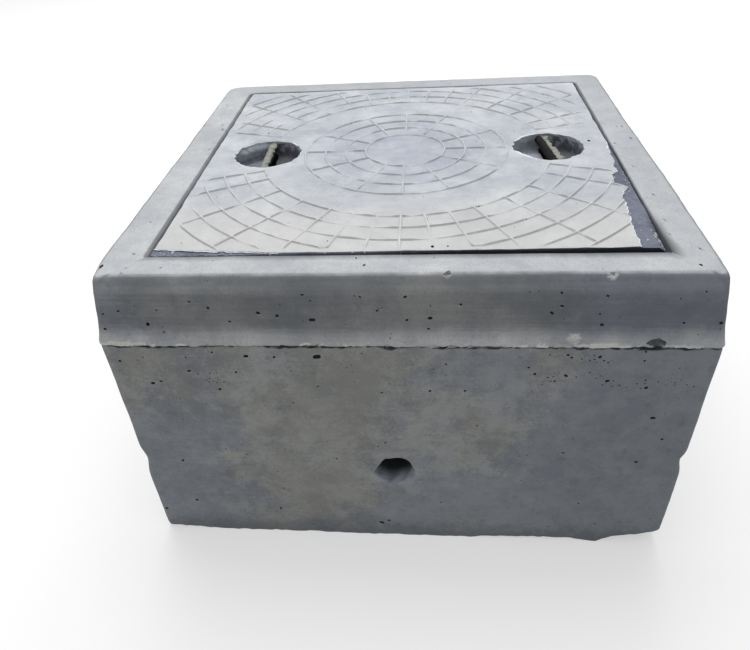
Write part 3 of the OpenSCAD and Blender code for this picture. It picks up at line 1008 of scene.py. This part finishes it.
class PIT_OT_cast_chamber(bpy.types.Operator):
    """Casts the chamber with its collar, flash, cable hole and bug holes"""

    bl_idname = "pit.cast_chamber"
    bl_label = "Cast the chamber"

    def execute(self, context):
        s = in_mm(context.scene.pit_chamber)
        finish = context.scene.pit_finishes
        rim = (finish.rim, finish.rim_shade, finish.flash)
        outer = concrete("formed_concrete", finish.formed, finish.formed_dark, (finish.olive, finish.blue), rim)
        # Near-black painted shade for the chamber's bug holes
        hollow = concrete("painted_shade_in_air_holes", finish.hole, darker(finish.hole, 0.6))
        bore = concrete("damp_concrete_in_cable_hole", finish.pocket, darker(finish.pocket, 0.6))
        # Dark painted shade for the hollow left by the spalled lip
        spall = concrete("painted_shade_in_spall", darker(finish.pocket, 0.4), darker(finish.pocket, 0.2))
        piece = chamber_surface(s)
        piece.data.materials.append(outer)
        blob = chip("cement_blob", *CEMENT_BLOB, 61, 0.05)
        blob.data.materials.append(outer)
        combine(piece, blob, "UNION")
        chipped = [seen_on(pixel, np.array((0, 0, 1.0)), (0, 0, s.height - 2)) for pixel in EDGE_CHIPS]
        cutters = [
            (cable_hole(s), bore),
            (chip("spalled_lip_cutter", *SPALLED_LIP, 62, 0.2), spall),
            (chip("spalled_edge_cutter", chipped[0], (3.4, 2.6, 1.9), 64), outer),
            (chip("small_edge_chip_cutter", chipped[1], (2.8, 2.2, 1.7), 66), outer),
            (chamber_pits(s, piece), hollow),
        ]
        cut_all(piece, cutters)
        places, normals = points_of(piece)
        pale = chamber_pale(s, places, normals, chipped)
        store(piece, "pale", pale)
        store(piece, "seam", chamber_dirt_and_shade(s, places, pale))
        finish_piece(piece, "chamber", 42)
        return {"FINISHED"}


# The lid


def spoke_columns(spokes, counts):
    """Columns of the lid's polar surface: an angle and a sideways offset each, from spoke to spoke.

    Seven columns run along each spoke at fixed distances beside it. The others divide the room
    between two spokes evenly, in angle and in offset.
    """
    angles, offsets = [], []
    for start, end, count in zip(spokes, [*spokes[1:], spokes[0] + 360], counts):
        angles.extend([start] * len(RIB_LINES))
        offsets.extend(RIB_LINES)
        part = np.arange(1, count + 1) / (count + 1)
        angles.extend(start + (end - start) * part)
        offsets.extend(RIB_LINES[-1] + (RIB_LINES[0] - RIB_LINES[-1]) * part)
    return np.radians(angles), np.array(offsets)


def all_round(spokes):
    """Spoke angles from the X axis, in order from 90 degrees.

    The given ones are counted from the front-to-back line, and hold to both sides of it.
    """
    found = {(end + sign * angle) % 360 for end in (90, 270) for sign in (-1, 1) for angle in spokes}
    return sorted((a - 90) % 360 + 90 for a in found)


def rib_profile(distance, half_width):
    """Height of a rib at a distance from its middle, from 1 on its crest to 0 beside it."""
    return ease(np.abs(distance), half_width + 0.75, half_width - 0.75)


def rib_height(x, y, s):
    """Height of the cast pattern over the lid's face, 0 to 1, counted from the pattern's middle."""
    radius, angle = np.hypot(x, y), np.degrees(np.arctan2(y, x))
    off_axis = np.abs((angle - 90 + 90) % 180 - 90)
    half = s.rib_width / 2 - 0.3
    outer = s.disc + 3 * s.ring_step
    height = np.zeros_like(radius)
    for i in range(4):
        height = np.maximum(height, rib_profile(radius - s.disc - i * s.ring_step, half))
    in_rosette = ease(radius, s.disc - 1.5, s.disc) * ease(radius, outer + 1.5, outer)
    for spoke in all_round(ROSETTE_SPOKES):
        turn = np.radians(angle - spoke)
        beside = rib_profile(radius * np.sin(turn), half) * (np.cos(turn) > 0)
        height = np.maximum(height, beside * in_rosette)
    last = max(FIELD_SPOKES)
    in_field = ease((off_axis - last) * radius * np.pi / 180, half + 0.5, half - 0.5)
    circles = np.arange(s.field, s.half * 1.25, s.field_step)
    for circle in circles:
        height = np.maximum(height, rib_profile(radius - circle, half) * in_field)
    beyond = ease(radius, s.field - 1.5, s.field) * ease(radius, circles[-1] + 1.6, circles[-1] + 0.6)
    for spoke in all_round(FIELD_SPOKES):
        turn = np.radians(angle - spoke)
        beside = rib_profile(radius * np.sin(turn), half) * (np.cos(turn) > 0)
        height = np.maximum(height, beside * beyond)
    reach = np.maximum(np.abs(x), np.abs(y + s.pattern_back))
    return height * ease(reach, s.half - s.margin, s.half - s.margin - 1.2)


def lid_face(s):
    """The lid's face as a closed round slab, wider than the lid.

    Its points lie on rings and radial lines that follow the ribs: beside each rib there are
    seven lines. Height is the face, plus the rib pattern with its worn crests, plus slow waves.
    """
    field = all_round(FIELD_SPOKES)
    gaps = np.diff([*field, field[0] + 360])
    field_counts = np.maximum(np.round(gaps * 0.5).astype(int), 3)
    far_angle, far_offset = spoke_columns(field, field_counts)
    rosette = all_round(ROSETTE_SPOKES)
    total = len(far_angle)
    marks = np.interp(np.radians(rosette[1:]), far_angle, np.arange(total))
    marks = np.concatenate([[0], np.round(marks), [total]]).astype(int)
    near_counts = np.diff(marks) - len(RIB_LINES)
    near_angle, near_offset = spoke_columns(rosette, near_counts)
    if len(near_angle) != len(far_angle):
        raise RuntimeError("the inner and outer lines of the lid's face differ in number")
    rings = [s.disc + i * s.ring_step for i in range(4)]
    rings += list(np.arange(s.field, s.half * 1.47, s.field_step))
    lines = sorted(ring + side for ring in rings for side in RIB_LINES)
    radii = [3.0]
    for line in lines:
        start, room = radii[-1], line - radii[-1]
        count = max(1, round(room / 4.2)) if room > 3 else 1
        radii.extend([start + room * (i + 1) / count for i in range(count)])
    radii = np.array(radii)[:, None]
    share = ease(radii, s.disc + 3 * s.ring_step + 2.5, s.field - 2.5)
    held = np.maximum(radii, s.disc - 2.5)
    angle = (near_angle + near_offset / held) * (1 - share) + (far_angle + far_offset / held) * share
    x, y = radii * np.cos(angle), radii * np.sin(angle)
    face = s.thickness - s.rib_height
    flat = np.stack([x, y + s.pattern_back, np.zeros_like(x)], -1)
    worn = np.clip(0.78 + 0.25 * waves(flat, 60, 71) + 0.25 * waves(flat, 17, 72), 0.2, 1)
    level = face - 0.35 + np.clip(0.16 * waves(flat, 90, 73) + 0.1 * waves(flat, 25, 74), -0.6, 0.3)
    z = level + rib_height(x, y, s) * (s.rib_height + 0.25) * worn
    z = np.minimum(z, s.thickness)
    grid = np.stack([x, y + s.pattern_back, z], -1)
    skirt = grid[-1:].copy()
    skirt[..., 2] = -5
    ends = [(0, s.pattern_back, float(z[0].mean())), (0, s.pattern_back, -5)]
    return closed_mesh("lid_casting", np.concatenate([grid, skirt]), ends)


def lid_block(s):
    """The lid's body with its draft and worn, bevelled top edge, taller than the face at the top."""
    face = s.thickness - s.rib_height
    inset = np.array([6, 2.6, 2.0, 1.6, 1.2, 0.8, 0.4, 0, 0.4, 1.5, 4.5])
    rounder = np.array([4, 2.5, 2, 1.6, 1.2, 0.8, 0.4, 0, 0.4, 1.2, 2.5])
    height = [0.0, 0.0, 0.8, 8, 16, 24, 31, face - 1.8, face - 0.9, face, face + 2.5]
    rows = np.stack([s.half - inset, s.corner - rounder, height], -1)
    columns = square_columns(150, 150, 6)
    headings = columns[1]
    grid = carry(rows, columns)
    outline = grid[7]
    along = np.cumsum(np.linalg.norm(outline - np.roll(outline, 1, 0), axis=1))
    worn = 0.35 + 0.45 * ragged(along, 21, 81, along[-1]) + 0.3 * ragged(along, 5.5, 82, along[-1])
    weight = np.array([0.2, 0.2, 0.15, 0.1, 0.1, 0.1, 0.15, 0.3, 0.8, 1.3, 1.3])
    grid[..., :2] -= headings[None] * (np.maximum(worn, 0)[None] * weight[:, None])[..., None]
    recess = np.interp(outline[:, 0], *np.array(FRONT_RECESS).T) * np.maximum(-headings[:, 1], 0) ** 2
    grid[..., 1] += recess[None]
    return closed_mesh("lid_block", grid, [(0, 0, 0.0), (0, 0, face + 2.5)])


def pocket_cutter(s, side):
    """Cutter of a lifting pocket: a profile turned round its middle, its wall pushed in and out.

    In the left pocket a ledge juts in at the back left, in the right one the floor rises to the
    left and the rim is cut straight at the front left.
    """
    angle = np.linspace(0, 2 * np.pi, 120, endpoint=False)
    depth, reach = np.array(POCKET_PROFILE).T * ((s.pocket_depth / 16,), (s.pocket_radius / 34,))
    reach = np.repeat(reach[:, None], len(angle), 1)
    deep = np.broadcast_to(depth[:, None], reach.shape).copy()
    low = ease(depth, 1.5, 6)[:, None]
    degrees = np.degrees(angle)[None]
    if side < 0:
        ledge = ease(degrees, 92, 104) * ease(degrees, 172, 150)
        reach -= low * ledge * (5.5 + 1.2 * ragged(angle * 34, 6, 91, 2 * np.pi * 34))[None] * (reach > 30)
    else:
        cut = 29.5 / np.maximum(np.cos(angle - np.radians(222)), 1e-3)
        reach = np.minimum(reach, cut[None] + (reach - 34))
    wall = ease(reach, 24, 32)
    edge = ragged(angle * 34, 4.5, 92 + side, 2 * np.pi * 34)
    reach += wall * (0.35 * edge[None] * ease(depth, 6, 0)[:, None])
    x, y = reach * np.cos(angle), reach * np.sin(angle)
    rough = np.stack([x, y, deep + side * 40], -1)
    push = 0.45 * waves(rough, 12, 94) + 0.25 * waves(rough, 5, 95)
    x, y = x + push * wall * np.cos(angle), y + push * wall * np.sin(angle)
    deep = deep + (0.35 * waves(rough, 14, 96) + 0.2 * waves(rough, 6, 97)) * (1 - wall) * (deep > 1)
    middle = (side * s.pocket_across, s.pattern_back, s.thickness - s.rib_height)
    grid = np.stack([x, y, -deep], -1) + middle
    ends = [(middle[0], middle[1], middle[2] - s.pocket_depth), (middle[0], middle[1], middle[2] + 4)]
    return closed_mesh("pocket_cutter", grid, ends)


def pocket_edge_cutter(s, side):
    """Cutter of the chalky edge round a pocket: a thin ragged disc, widest at the back."""
    angle = np.linspace(0, 2 * np.pi, 150, endpoint=False)
    loop = 2 * np.pi * s.pocket_radius
    radius = s.pocket_radius + 0.9 + 0.8 * ragged(angle * s.pocket_radius, 7, 131 + side, loop)
    radius += 0.5 * ragged(angle * s.pocket_radius, 2.6, 134 + side, loop) + 1.0 * ease(np.sin(angle), 0.3, 1)
    height = np.array([-0.75, -0.4, 1.0, 4.0])
    ring = np.stack([radius * np.cos(angle), radius * np.sin(angle), np.zeros_like(angle)], -1)
    grid = ring[None] + height[:, None, None] * (0, 0, 1)
    grid[0, :, :2] *= 0.97
    middle = np.array((side * s.pocket_across, s.pattern_back, s.thickness - s.rib_height))
    ends = np.array([(0, 0, -0.75), (0, 0, 4.0)])
    return closed_mesh("pocket_edge_cutter", grid + middle, ends + middle)


def slot_cutter(s, side, turn):
    """Cutter of the slot under a bar: a rounded oblong carried down, its sides a little uneven."""
    half, reach = (5.0, s.pocket_radius - 1.2) if side < 0 else (3.6, s.pocket_radius - 2.5)
    depth = np.array([s.slot_depth, s.slot_depth, s.slot_depth - 0.6, 22, 19, s.pocket_depth, 14.0])
    width = half * np.array([0.5, 0.85, 1, 1, 1, 1.05, 1.1])
    ends = reach * np.array([0.96, 0.98, 1, 1, 1, 1, 1])
    t = np.linspace(0, 2 * np.pi, 96, endpoint=False)
    across = np.sign(np.cos(t)) * np.abs(np.cos(t)) ** 0.35
    long = np.sign(np.sin(t)) * np.abs(np.sin(t)) ** 0.7
    x, y = width[:, None] * across, ends[:, None] * long
    y = np.sign(y) * np.minimum(np.abs(y), np.sqrt(reach**2 - x**2))
    grid = np.stack([x, y, np.broadcast_to(-depth[:, None], x.shape)], -1)
    grid[..., 0] += 0.3 * waves(grid, 12, 99 + side) + (1.6 if side > 0 else 0)
    grid = spun(grid, turn) + (side * s.pocket_across, s.pattern_back, s.thickness - s.rib_height)
    return closed_mesh("slot_cutter", grid, [grid[0].mean(0), grid[-1].mean(0)])


def break_cutter(s, name, edge, along_front, skin, border=0.0):
    """Cutter of the broken skin: a strip along the lid's edge, its inner border ragged, its bottom rough.

    skin is how deep it goes. A border widens the strip by a ragged amount of up to that width,
    for the chalky flaked edge, whose white also stands for a painted highlight along the skin's broken
    edge. Near the front right corner the outer part slopes down.
    """
    inward, place = np.array(edge, float).T
    t = np.arange(place[0] - 6, place[-1] - 0.4 + 4 * (border > 0), 1.3)
    depth_in = np.interp(t, place, inward)
    depth_in = depth_in + (0.9 * ragged(t, 4.2, 101) + 0.6 * ragged(t, 1.9, 102)) * ease(depth_in, 0.5, 4)
    depth_in = depth_in + border * (0.5 + 0.5 * ragged(t, 2.4, 105))
    depth_in = np.maximum(depth_in, 0.05)
    bottom = s.thickness - s.rib_height - skin
    share = np.array([0, 0.2, 0.45, 0.7, 1.0])
    outside = np.full((len(t), 2), 4.0)
    across = np.concatenate([-depth_in[:, None] * (1 - share), outside, -depth_in[:, None]], 1)
    level = np.array([bottom] * 6 + [s.thickness + 4] * 2)
    grid = np.stack([across, np.repeat(t[:, None], 8, 1), np.broadcast_to(level, across.shape)], -1)
    rough = (0.22 * waves(grid, 9, 103) + 0.12 * waves(grid, 3.5, 104)) * (0.3 if border else 1.0)
    if not along_front and not border:
        rough -= 3.0 * ease(grid[..., 0], -4.5, 0) * ease(grid[..., 1], 75, 15)
    grid[:, :6, 2] += rough[:, :6]
    if along_front:
        grid = np.stack([grid[..., 1] - s.half, -grid[..., 0] - s.half, grid[..., 2]], -1)
    else:
        grid = np.stack([grid[..., 0] + s.half, grid[..., 1] - s.half, grid[..., 2]], -1)
    return closed_mesh(name, grid, [grid[0].mean(0), grid[-1].mean(0)])


def laid(piece, s):
    """Moves a piece from the lid's own frame to where the lid lies in its opening."""
    moved = spun(points_of(piece)[0], s.turn) + (s.across, s.back, s.seat)
    piece.data.vertices.foreach_set("co", (moved / 1000).astype(np.float32).ravel())
    piece.data.update()


class PIT_OT_cast_lid(bpy.types.Operator):
    """Casts the lid with its ribs, pockets, slots and broken skin"""

    bl_idname = "pit.cast_lid"
    bl_label = "Cast the lid"

    def execute(self, context):
        s = in_mm(context.scene.pit_lid)
        bars = in_mm(context.scene.pit_bars)
        finish = context.scene.pit_finishes
        skin = lid_skin(finish)
        bare_shade = darker(finish.bare, 0.55)
        bare = concrete("bare_dense_concrete", finish.bare, bare_shade, flecks=finish.flake, grain=0.7)
        damp = concrete("damp_concrete_in_pocket", finish.pocket, darker(finish.pocket, 0.62))
        # Near-black painted shade for the lid's bug holes and the slots under the bars
        hollow = concrete("painted_shade_in_lid_holes", finish.hole, darker(finish.hole, 0.6))
        flaked = concrete("chalky_flaked_edge", finish.flake, finish.skin)
        piece = lid_face(s)
        piece.data.materials.append(skin)
        block = lid_block(s)
        block.data.materials.append(bare)
        combine(piece, block, "INTERSECT")
        cutters = []
        for side, turn in ((-1, bars.left_turn), (1, bars.right_turn)):
            cutters += [
                (pocket_edge_cutter(s, side), flaked),
                (pocket_cutter(s, side), damp),
                (slot_cutter(s, side, turn), hollow),
                (bar_tube(s, bars, side, turn, 0.1, "bar_bed_cutter"), damp),
            ]
        for name, edge, along_front in (("right", RIGHT_BREAK, False), ("front", FRONT_BREAK, True)):
            cutters += [
                # Chalky flaked border, painted white also as a highlight along the broken skin's edge
                (break_cutter(s, name + "_flake_cutter", edge, along_front, 0.75, 2.2), flaked),
                (break_cutter(s, name + "_break_cutter", edge, along_front, s.skin + 0.3), bare),
            ]
        cutters.append((self.bug_holes(s, piece), hollow))
        cut_all(piece, cutters)
        places, normals = points_of(piece)
        x, y, z = places.T
        face = s.thickness - s.rib_height
        up = ease(normals[:, 2], 0.5, 0.85)
        rib = rib_height(x, y - s.pattern_back, s)
        # Upward rib crests painted pale: wear and a painted highlight on the ribs' tops
        store(piece, "crest", np.clip((z - face + 0.1) / s.rib_height, 0, 1) * up * ease(rib, 0.5, 0.95) * 0.8)
        # Rib flanks painted darker: a little dirt on all of them, and painted shade on those that face the front
        to_front = ease(-normals[:, 1], 0.12, 0.45)
        flank = ease(rib, 0.02, 0.15) * ease(rib, 0.98, 0.6) * (z > face - 1)
        store(piece, "flank_dirt_and_shade", flank * (0.08 + 0.55 * to_front))
        # Painted shade growing down the lid's sides into the gap round it
        at_side = np.maximum(np.abs(x), np.abs(y)) > s.half - 5
        seam = ease(z, face - 1.4, face - 3.2) * at_side
        # Painted shade on the lid's front face, down in the front gap
        at_front = (y < 8 - s.half) * ease(x, -90, 60) * ease(-normals[:, 1], 0.2, 0.5)
        # Painted shade in the pockets, strongest on their right halves, none on the left pocket's back-left ledge
        in_pocket = (np.hypot(np.abs(x) - s.pocket_across, y - s.pattern_back) < s.pocket_radius) & (z < face - 3)
        beside = np.abs(x) - s.pocket_across
        beside = np.where(x > 0, beside, -beside)
        shade = np.where(x > 0, 0.68 * ease(beside, -2, 5), 0.42 + 0.26 * ease(beside, 0, 6)) * in_pocket
        ledge = (x < 0) & (beside < -3) & (y > s.pattern_back + 6) & (z > face - 12)
        shade = np.where(ledge, 0, shade)
        seam = seam * np.where(np.abs(x) > np.abs(y), 0.5, 0.93)
        store(piece, "seam", np.maximum(np.maximum(seam, at_front * 0.93), shade))
        store(piece, "pale", ease(x, s.half - 3, s.half - 1) * ease(y, -150, -175))
        laid(piece, s)
        finish_piece(piece, "lid", 40)
        return {"FINISHED"}

    @staticmethod
    def bug_holes(s, piece):
        """Bug holes in the lid's face: those seen in the photograph and a few seeded ones."""
        rng = np.random.default_rng(111)
        face = s.thickness - s.rib_height - 0.3
        up = np.array((0, 0, 1.0))
        seen = [seen_on(hole, up, (0, 0, s.seat + face)) - (s.across, s.back, s.seat) for hole in LID_BUG_HOLES]
        spots = rng.uniform(-1, 1, (40, 2)) * (s.half - 10)
        clear = np.hypot(np.abs(spots[:, 0]) - s.pocket_across, spots[:, 1]) > s.pocket_radius + 5
        spots = spots[clear]
        centres = np.concatenate([seen, np.column_stack([spots, np.full(len(spots), face)])])
        radii = np.concatenate([[h[2] for h in LID_BUG_HOLES], 0.45 + 0.5 * rng.random(len(spots)) ** 2])
        centres = raised(piece, centres, up, radii)
        kept = apart(centres, radii)
        return pits("lid_hole_cutter", centres[kept], np.tile(up, (len(kept), 1)), radii[kept], 112)


# The lifting bars


def bar_path(s, bars):
    """Middle line of a bar: a leg up, a bend, straight across the pocket, a bend and a leg down."""
    half, bend = s.pocket_radius, bars.bend
    arc = np.linspace(0, np.pi / 2, 9)
    bend_out = np.stack([half + bend * np.sin(arc), -bend * (1 - np.cos(arc))], -1)[1:]
    leg = np.array([[half + bend, -bend - bars.leg / 2], [half + bend, -bend - bars.leg]])
    straight = np.linspace(-half, half, 45)
    one = np.concatenate([bend_out, leg])
    line = np.concatenate([one[::-1] * (-1, 1), np.stack([straight, np.zeros(45)], -1), one])
    tangent = np.gradient(line, axis=0)
    tangent /= np.linalg.norm(tangent, axis=1)[:, None]
    return line, tangent


def bar_tube(s, bars, side, turn, extra, name, crust=None):
    """Tube round a bar's middle line: a circle carried along it, its radius grown by extra and a crust."""
    line, tangent = bar_path(s, bars)
    t = np.linspace(0, 2 * np.pi, 28, endpoint=False)
    radius = np.full((len(line), len(t)), bars.radius + extra)
    if crust is not None:
        radius = radius + crust(line[:, 0][:, None], t[None])
    x = radius * np.cos(t)
    upward = radius * np.sin(t)
    y = line[:, 0][:, None] - tangent[:, 1][:, None] * upward
    z = line[:, 1][:, None] + tangent[:, 0][:, None] * upward
    middle = (side * s.pocket_across, s.pattern_back, s.thickness - s.rib_height - bars.drop)
    grid = spun(np.stack([x, y, z], -1), turn) + middle
    ends = grid[[0, -1]].mean(1)
    return closed_mesh(name, grid, ends)


class PIT_OT_set_bars(bpy.types.Operator):
    """Sets the two lifting bars in the lid's pockets"""

    bl_idname = "pit.set_bars"
    bl_label = "Set the lifting bars"

    def execute(self, context):
        s = in_mm(context.scene.pit_lid)
        bars = in_mm(context.scene.pit_bars)
        steel = coated_steel(context.scene.pit_finishes)
        for side, turn, name in ((-1, bars.left_turn, "left"), (1, bars.right_turn, "right")):

            def crust(place, angle, side=side):
                """Thickness of dried slurry: most on the upper side, lumpy along the bar."""
                spot = np.stack(np.broadcast_arrays(place, 6 * np.cos(angle), 6 * np.sin(angle) + 50 * side), -1)
                facing = 80 if side < 0 else 20
                cover = 0.5 + 0.5 * np.cos(angle - np.radians(facing))
                lumps = 0.8 + 0.3 * waves(spot, 9, 121) + 0.2 * waves(spot, 3.5, 122)
                if side > 0:
                    lumps = lumps + 5 * np.exp(-(((angle - 0.5) / 0.35) ** 2)) * (0.7 + 0.4 * ragged(place, 6, 123))
                else:
                    lumps = lumps + 0.9 * ease(place, 8, 26) * np.cos(angle - np.radians(40))
                inside = ease(np.abs(place), s.pocket_radius - 1, s.pocket_radius - 5)
                return bars.crust * np.maximum(cover * lumps, 0) * inside

            piece = bar_tube(s, bars, side, turn, 0, f"lifting_bar_{name}_coated", crust)
            piece.data.materials.append(steel)
            places, normals = points_of(piece)
            if side < 0:
                cover = ease(normals[:, 2], 0.1, 0.75)
            else:
                beside = places[:, 0] - s.pocket_across + math.tan(turn) * (places[:, 1] - s.pattern_back)
                cover = ease(beside, 0.4, 2.6)
            store(piece, "crust", cover)
            laid(piece, s)
            finish_piece(piece, f"lifting_bar_{name}", 60)
        return {"FINISHED"}


# The stage


def seen_directly(tree):
    """1 for the rays of the camera, of gloss and of glass, 0 for those that light the object."""
    path = add(tree, "LightPath")
    seen = path["Is Camera Ray"]
    for name in ("Is Glossy Ray", "Is Transmission Ray"):
        seen = add(tree, "Math", (seen, path[name]), operation="MAXIMUM")[0]
    return seen


def floor_material():
    """Matt near-white paper. It looks white to the camera and in gloss, and sends little light back up."""
    material, tree, _ = new_material("matt_white_paper")
    seen = seen_directly(tree)
    paper = add(tree, "BsdfDiffuse", {"Color": paint(tree, linear("9A9A9A"), linear("FFFFFF"), seen)})[0]
    glow = add(tree, "Emission", {"Color": (1, 1, 1, 1), "Strength": 1.0})[0]
    share = add(tree, "Math", (seen, 0.45), operation="MULTIPLY")[0]
    add(tree, "OutputMaterial", {"Surface": add(tree, "MixShader", (share, paper, glow))[0]})
    return material


def turned(x, y, z):
    """Rotation of an object whose own axes point along x, y and z."""
    return Matrix(np.stack([x, y, z], 1).tolist()).to_euler()


def lamp(name, place, target, size, power):
    """Square area lamp at a place, in metres, that faces its target."""
    data = bpy.data.lights.new(name, "AREA")
    data.size = size
    data.energy = power
    lit = bpy.data.objects.new(name, data)
    bpy.context.scene.collection.objects.link(lit)
    away = np.array(place, float) - np.array(target, float)
    lit.location = place
    z = away / np.linalg.norm(away)
    x = np.cross((0, 1.0, 0.01), z)
    x /= np.linalg.norm(x)
    y = np.cross(z, x)
    lit.rotation_euler = turned(x, y, z)
    return lit


class PIT_OT_set_stage(bpy.types.Operator):
    """Sets the floor, the light and the camera"""

    bl_idname = "pit.set_stage"
    bl_label = "Set the stage"

    def execute(self, context):
        scene = context.scene
        mesh = bpy.data.meshes.new("floor")
        reach = 14.0
        corners = [(x * reach, y * reach, 0) for x, y in ((-1, -1), (1, -1), (1, 1), (-1, 1))]
        mesh.from_pydata(corners, [], [(0, 1, 2, 3)])
        floor = bpy.data.objects.new("floor", mesh)
        floor.data.materials.append(floor_material())
        scene.collection.objects.link(floor)
        lamp("soft_sky_lamp", (-0.3, 1.5, 3.2), (0, 0, 0.2), 2.8, 80)
        world = bpy.data.worlds.new("pale_studio")
        world.use_nodes = True
        tree = world.node_tree
        tree.nodes.clear()
        strength = add(tree, "MapRange", (seen_directly(tree), 0, 1, 0.62, 1), clamp=True)[0]
        sky = add(tree, "Background", {"Color": (1, 1, 1, 1), "Strength": strength})[0]
        add(tree, "OutputWorld", {"Surface": sky})
        scene.world = world
        camera = bpy.data.cameras.new("photo_camera")
        camera.sensor_width = SENSOR_WIDTH
        camera.lens = FOCAL_PX * SENSOR_WIDTH / FRAME_PX[0]
        camera.shift_x = (FRAME_PX[0] / 2 - CENTRE_PX[0]) / FRAME_PX[0]
        camera.shift_y = (CENTRE_PX[1] - FRAME_PX[1] / 2) / FRAME_PX[0]
        camera.clip_end = 100
        eye = bpy.data.objects.new("photo_camera", camera)
        scene.collection.objects.link(eye)
        eye.location = EYE / 1000
        eye.rotation_euler = turned(RIGHT, -DOWN, -LOOK)
        scene.camera = eye
        scene.view_settings.view_transform = "Standard"
        return {"FINISHED"}


class PIT_PT_panel(bpy.types.Panel):
    """Sizes, colours and steps of the chamber"""

    bl_idname = "PIT_PT_panel"
    bl_label = "Earthing pit chamber"
    bl_space_type = "VIEW_3D"
    bl_region_type = "UI"
    bl_category = "Pit"

    def draw(self, context):
        layout = self.layout
        for operator in OPERATORS:
            layout.operator(operator.bl_idname)
        for label, name in GROUPS:
            layout.label(text=label)
            group = getattr(context.scene, name)
            for row in group.bl_rna.properties:
                if row.identifier not in ("rna_type", "name"):
                    layout.prop(group, row.identifier)


OPERATORS = (PIT_OT_set_stage, PIT_OT_cast_chamber, PIT_OT_cast_lid, PIT_OT_set_bars)
GROUPS = (("Chamber", "pit_chamber"), ("Lid", "pit_lid"), ("Bars", "pit_bars"), ("Finishes", "pit_finishes"))
GROUP_CLASSES = (ChamberSizes, LidSizes, BarSizes, Finishes)


def register():
    for kind in (*GROUP_CLASSES, *OPERATORS, PIT_PT_panel):
        bpy.utils.register_class(kind)
    for kind, (_, name) in zip(GROUP_CLASSES, GROUPS):
        setattr(bpy.types.Scene, name, bpy.props.PointerProperty(type=kind))


def unregister():
    for _, name in GROUPS:
        delattr(bpy.types.Scene, name)
    for kind in (PIT_PT_panel, *OPERATORS, *GROUP_CLASSES):
        bpy.utils.unregister_class(kind)


def main():
    register()
    bpy.ops.pit.set_stage()
    bpy.ops.pit.cast_chamber()
    bpy.ops.pit.cast_lid()
    bpy.ops.pit.set_bars()


if __name__ == "__main__":
    main()
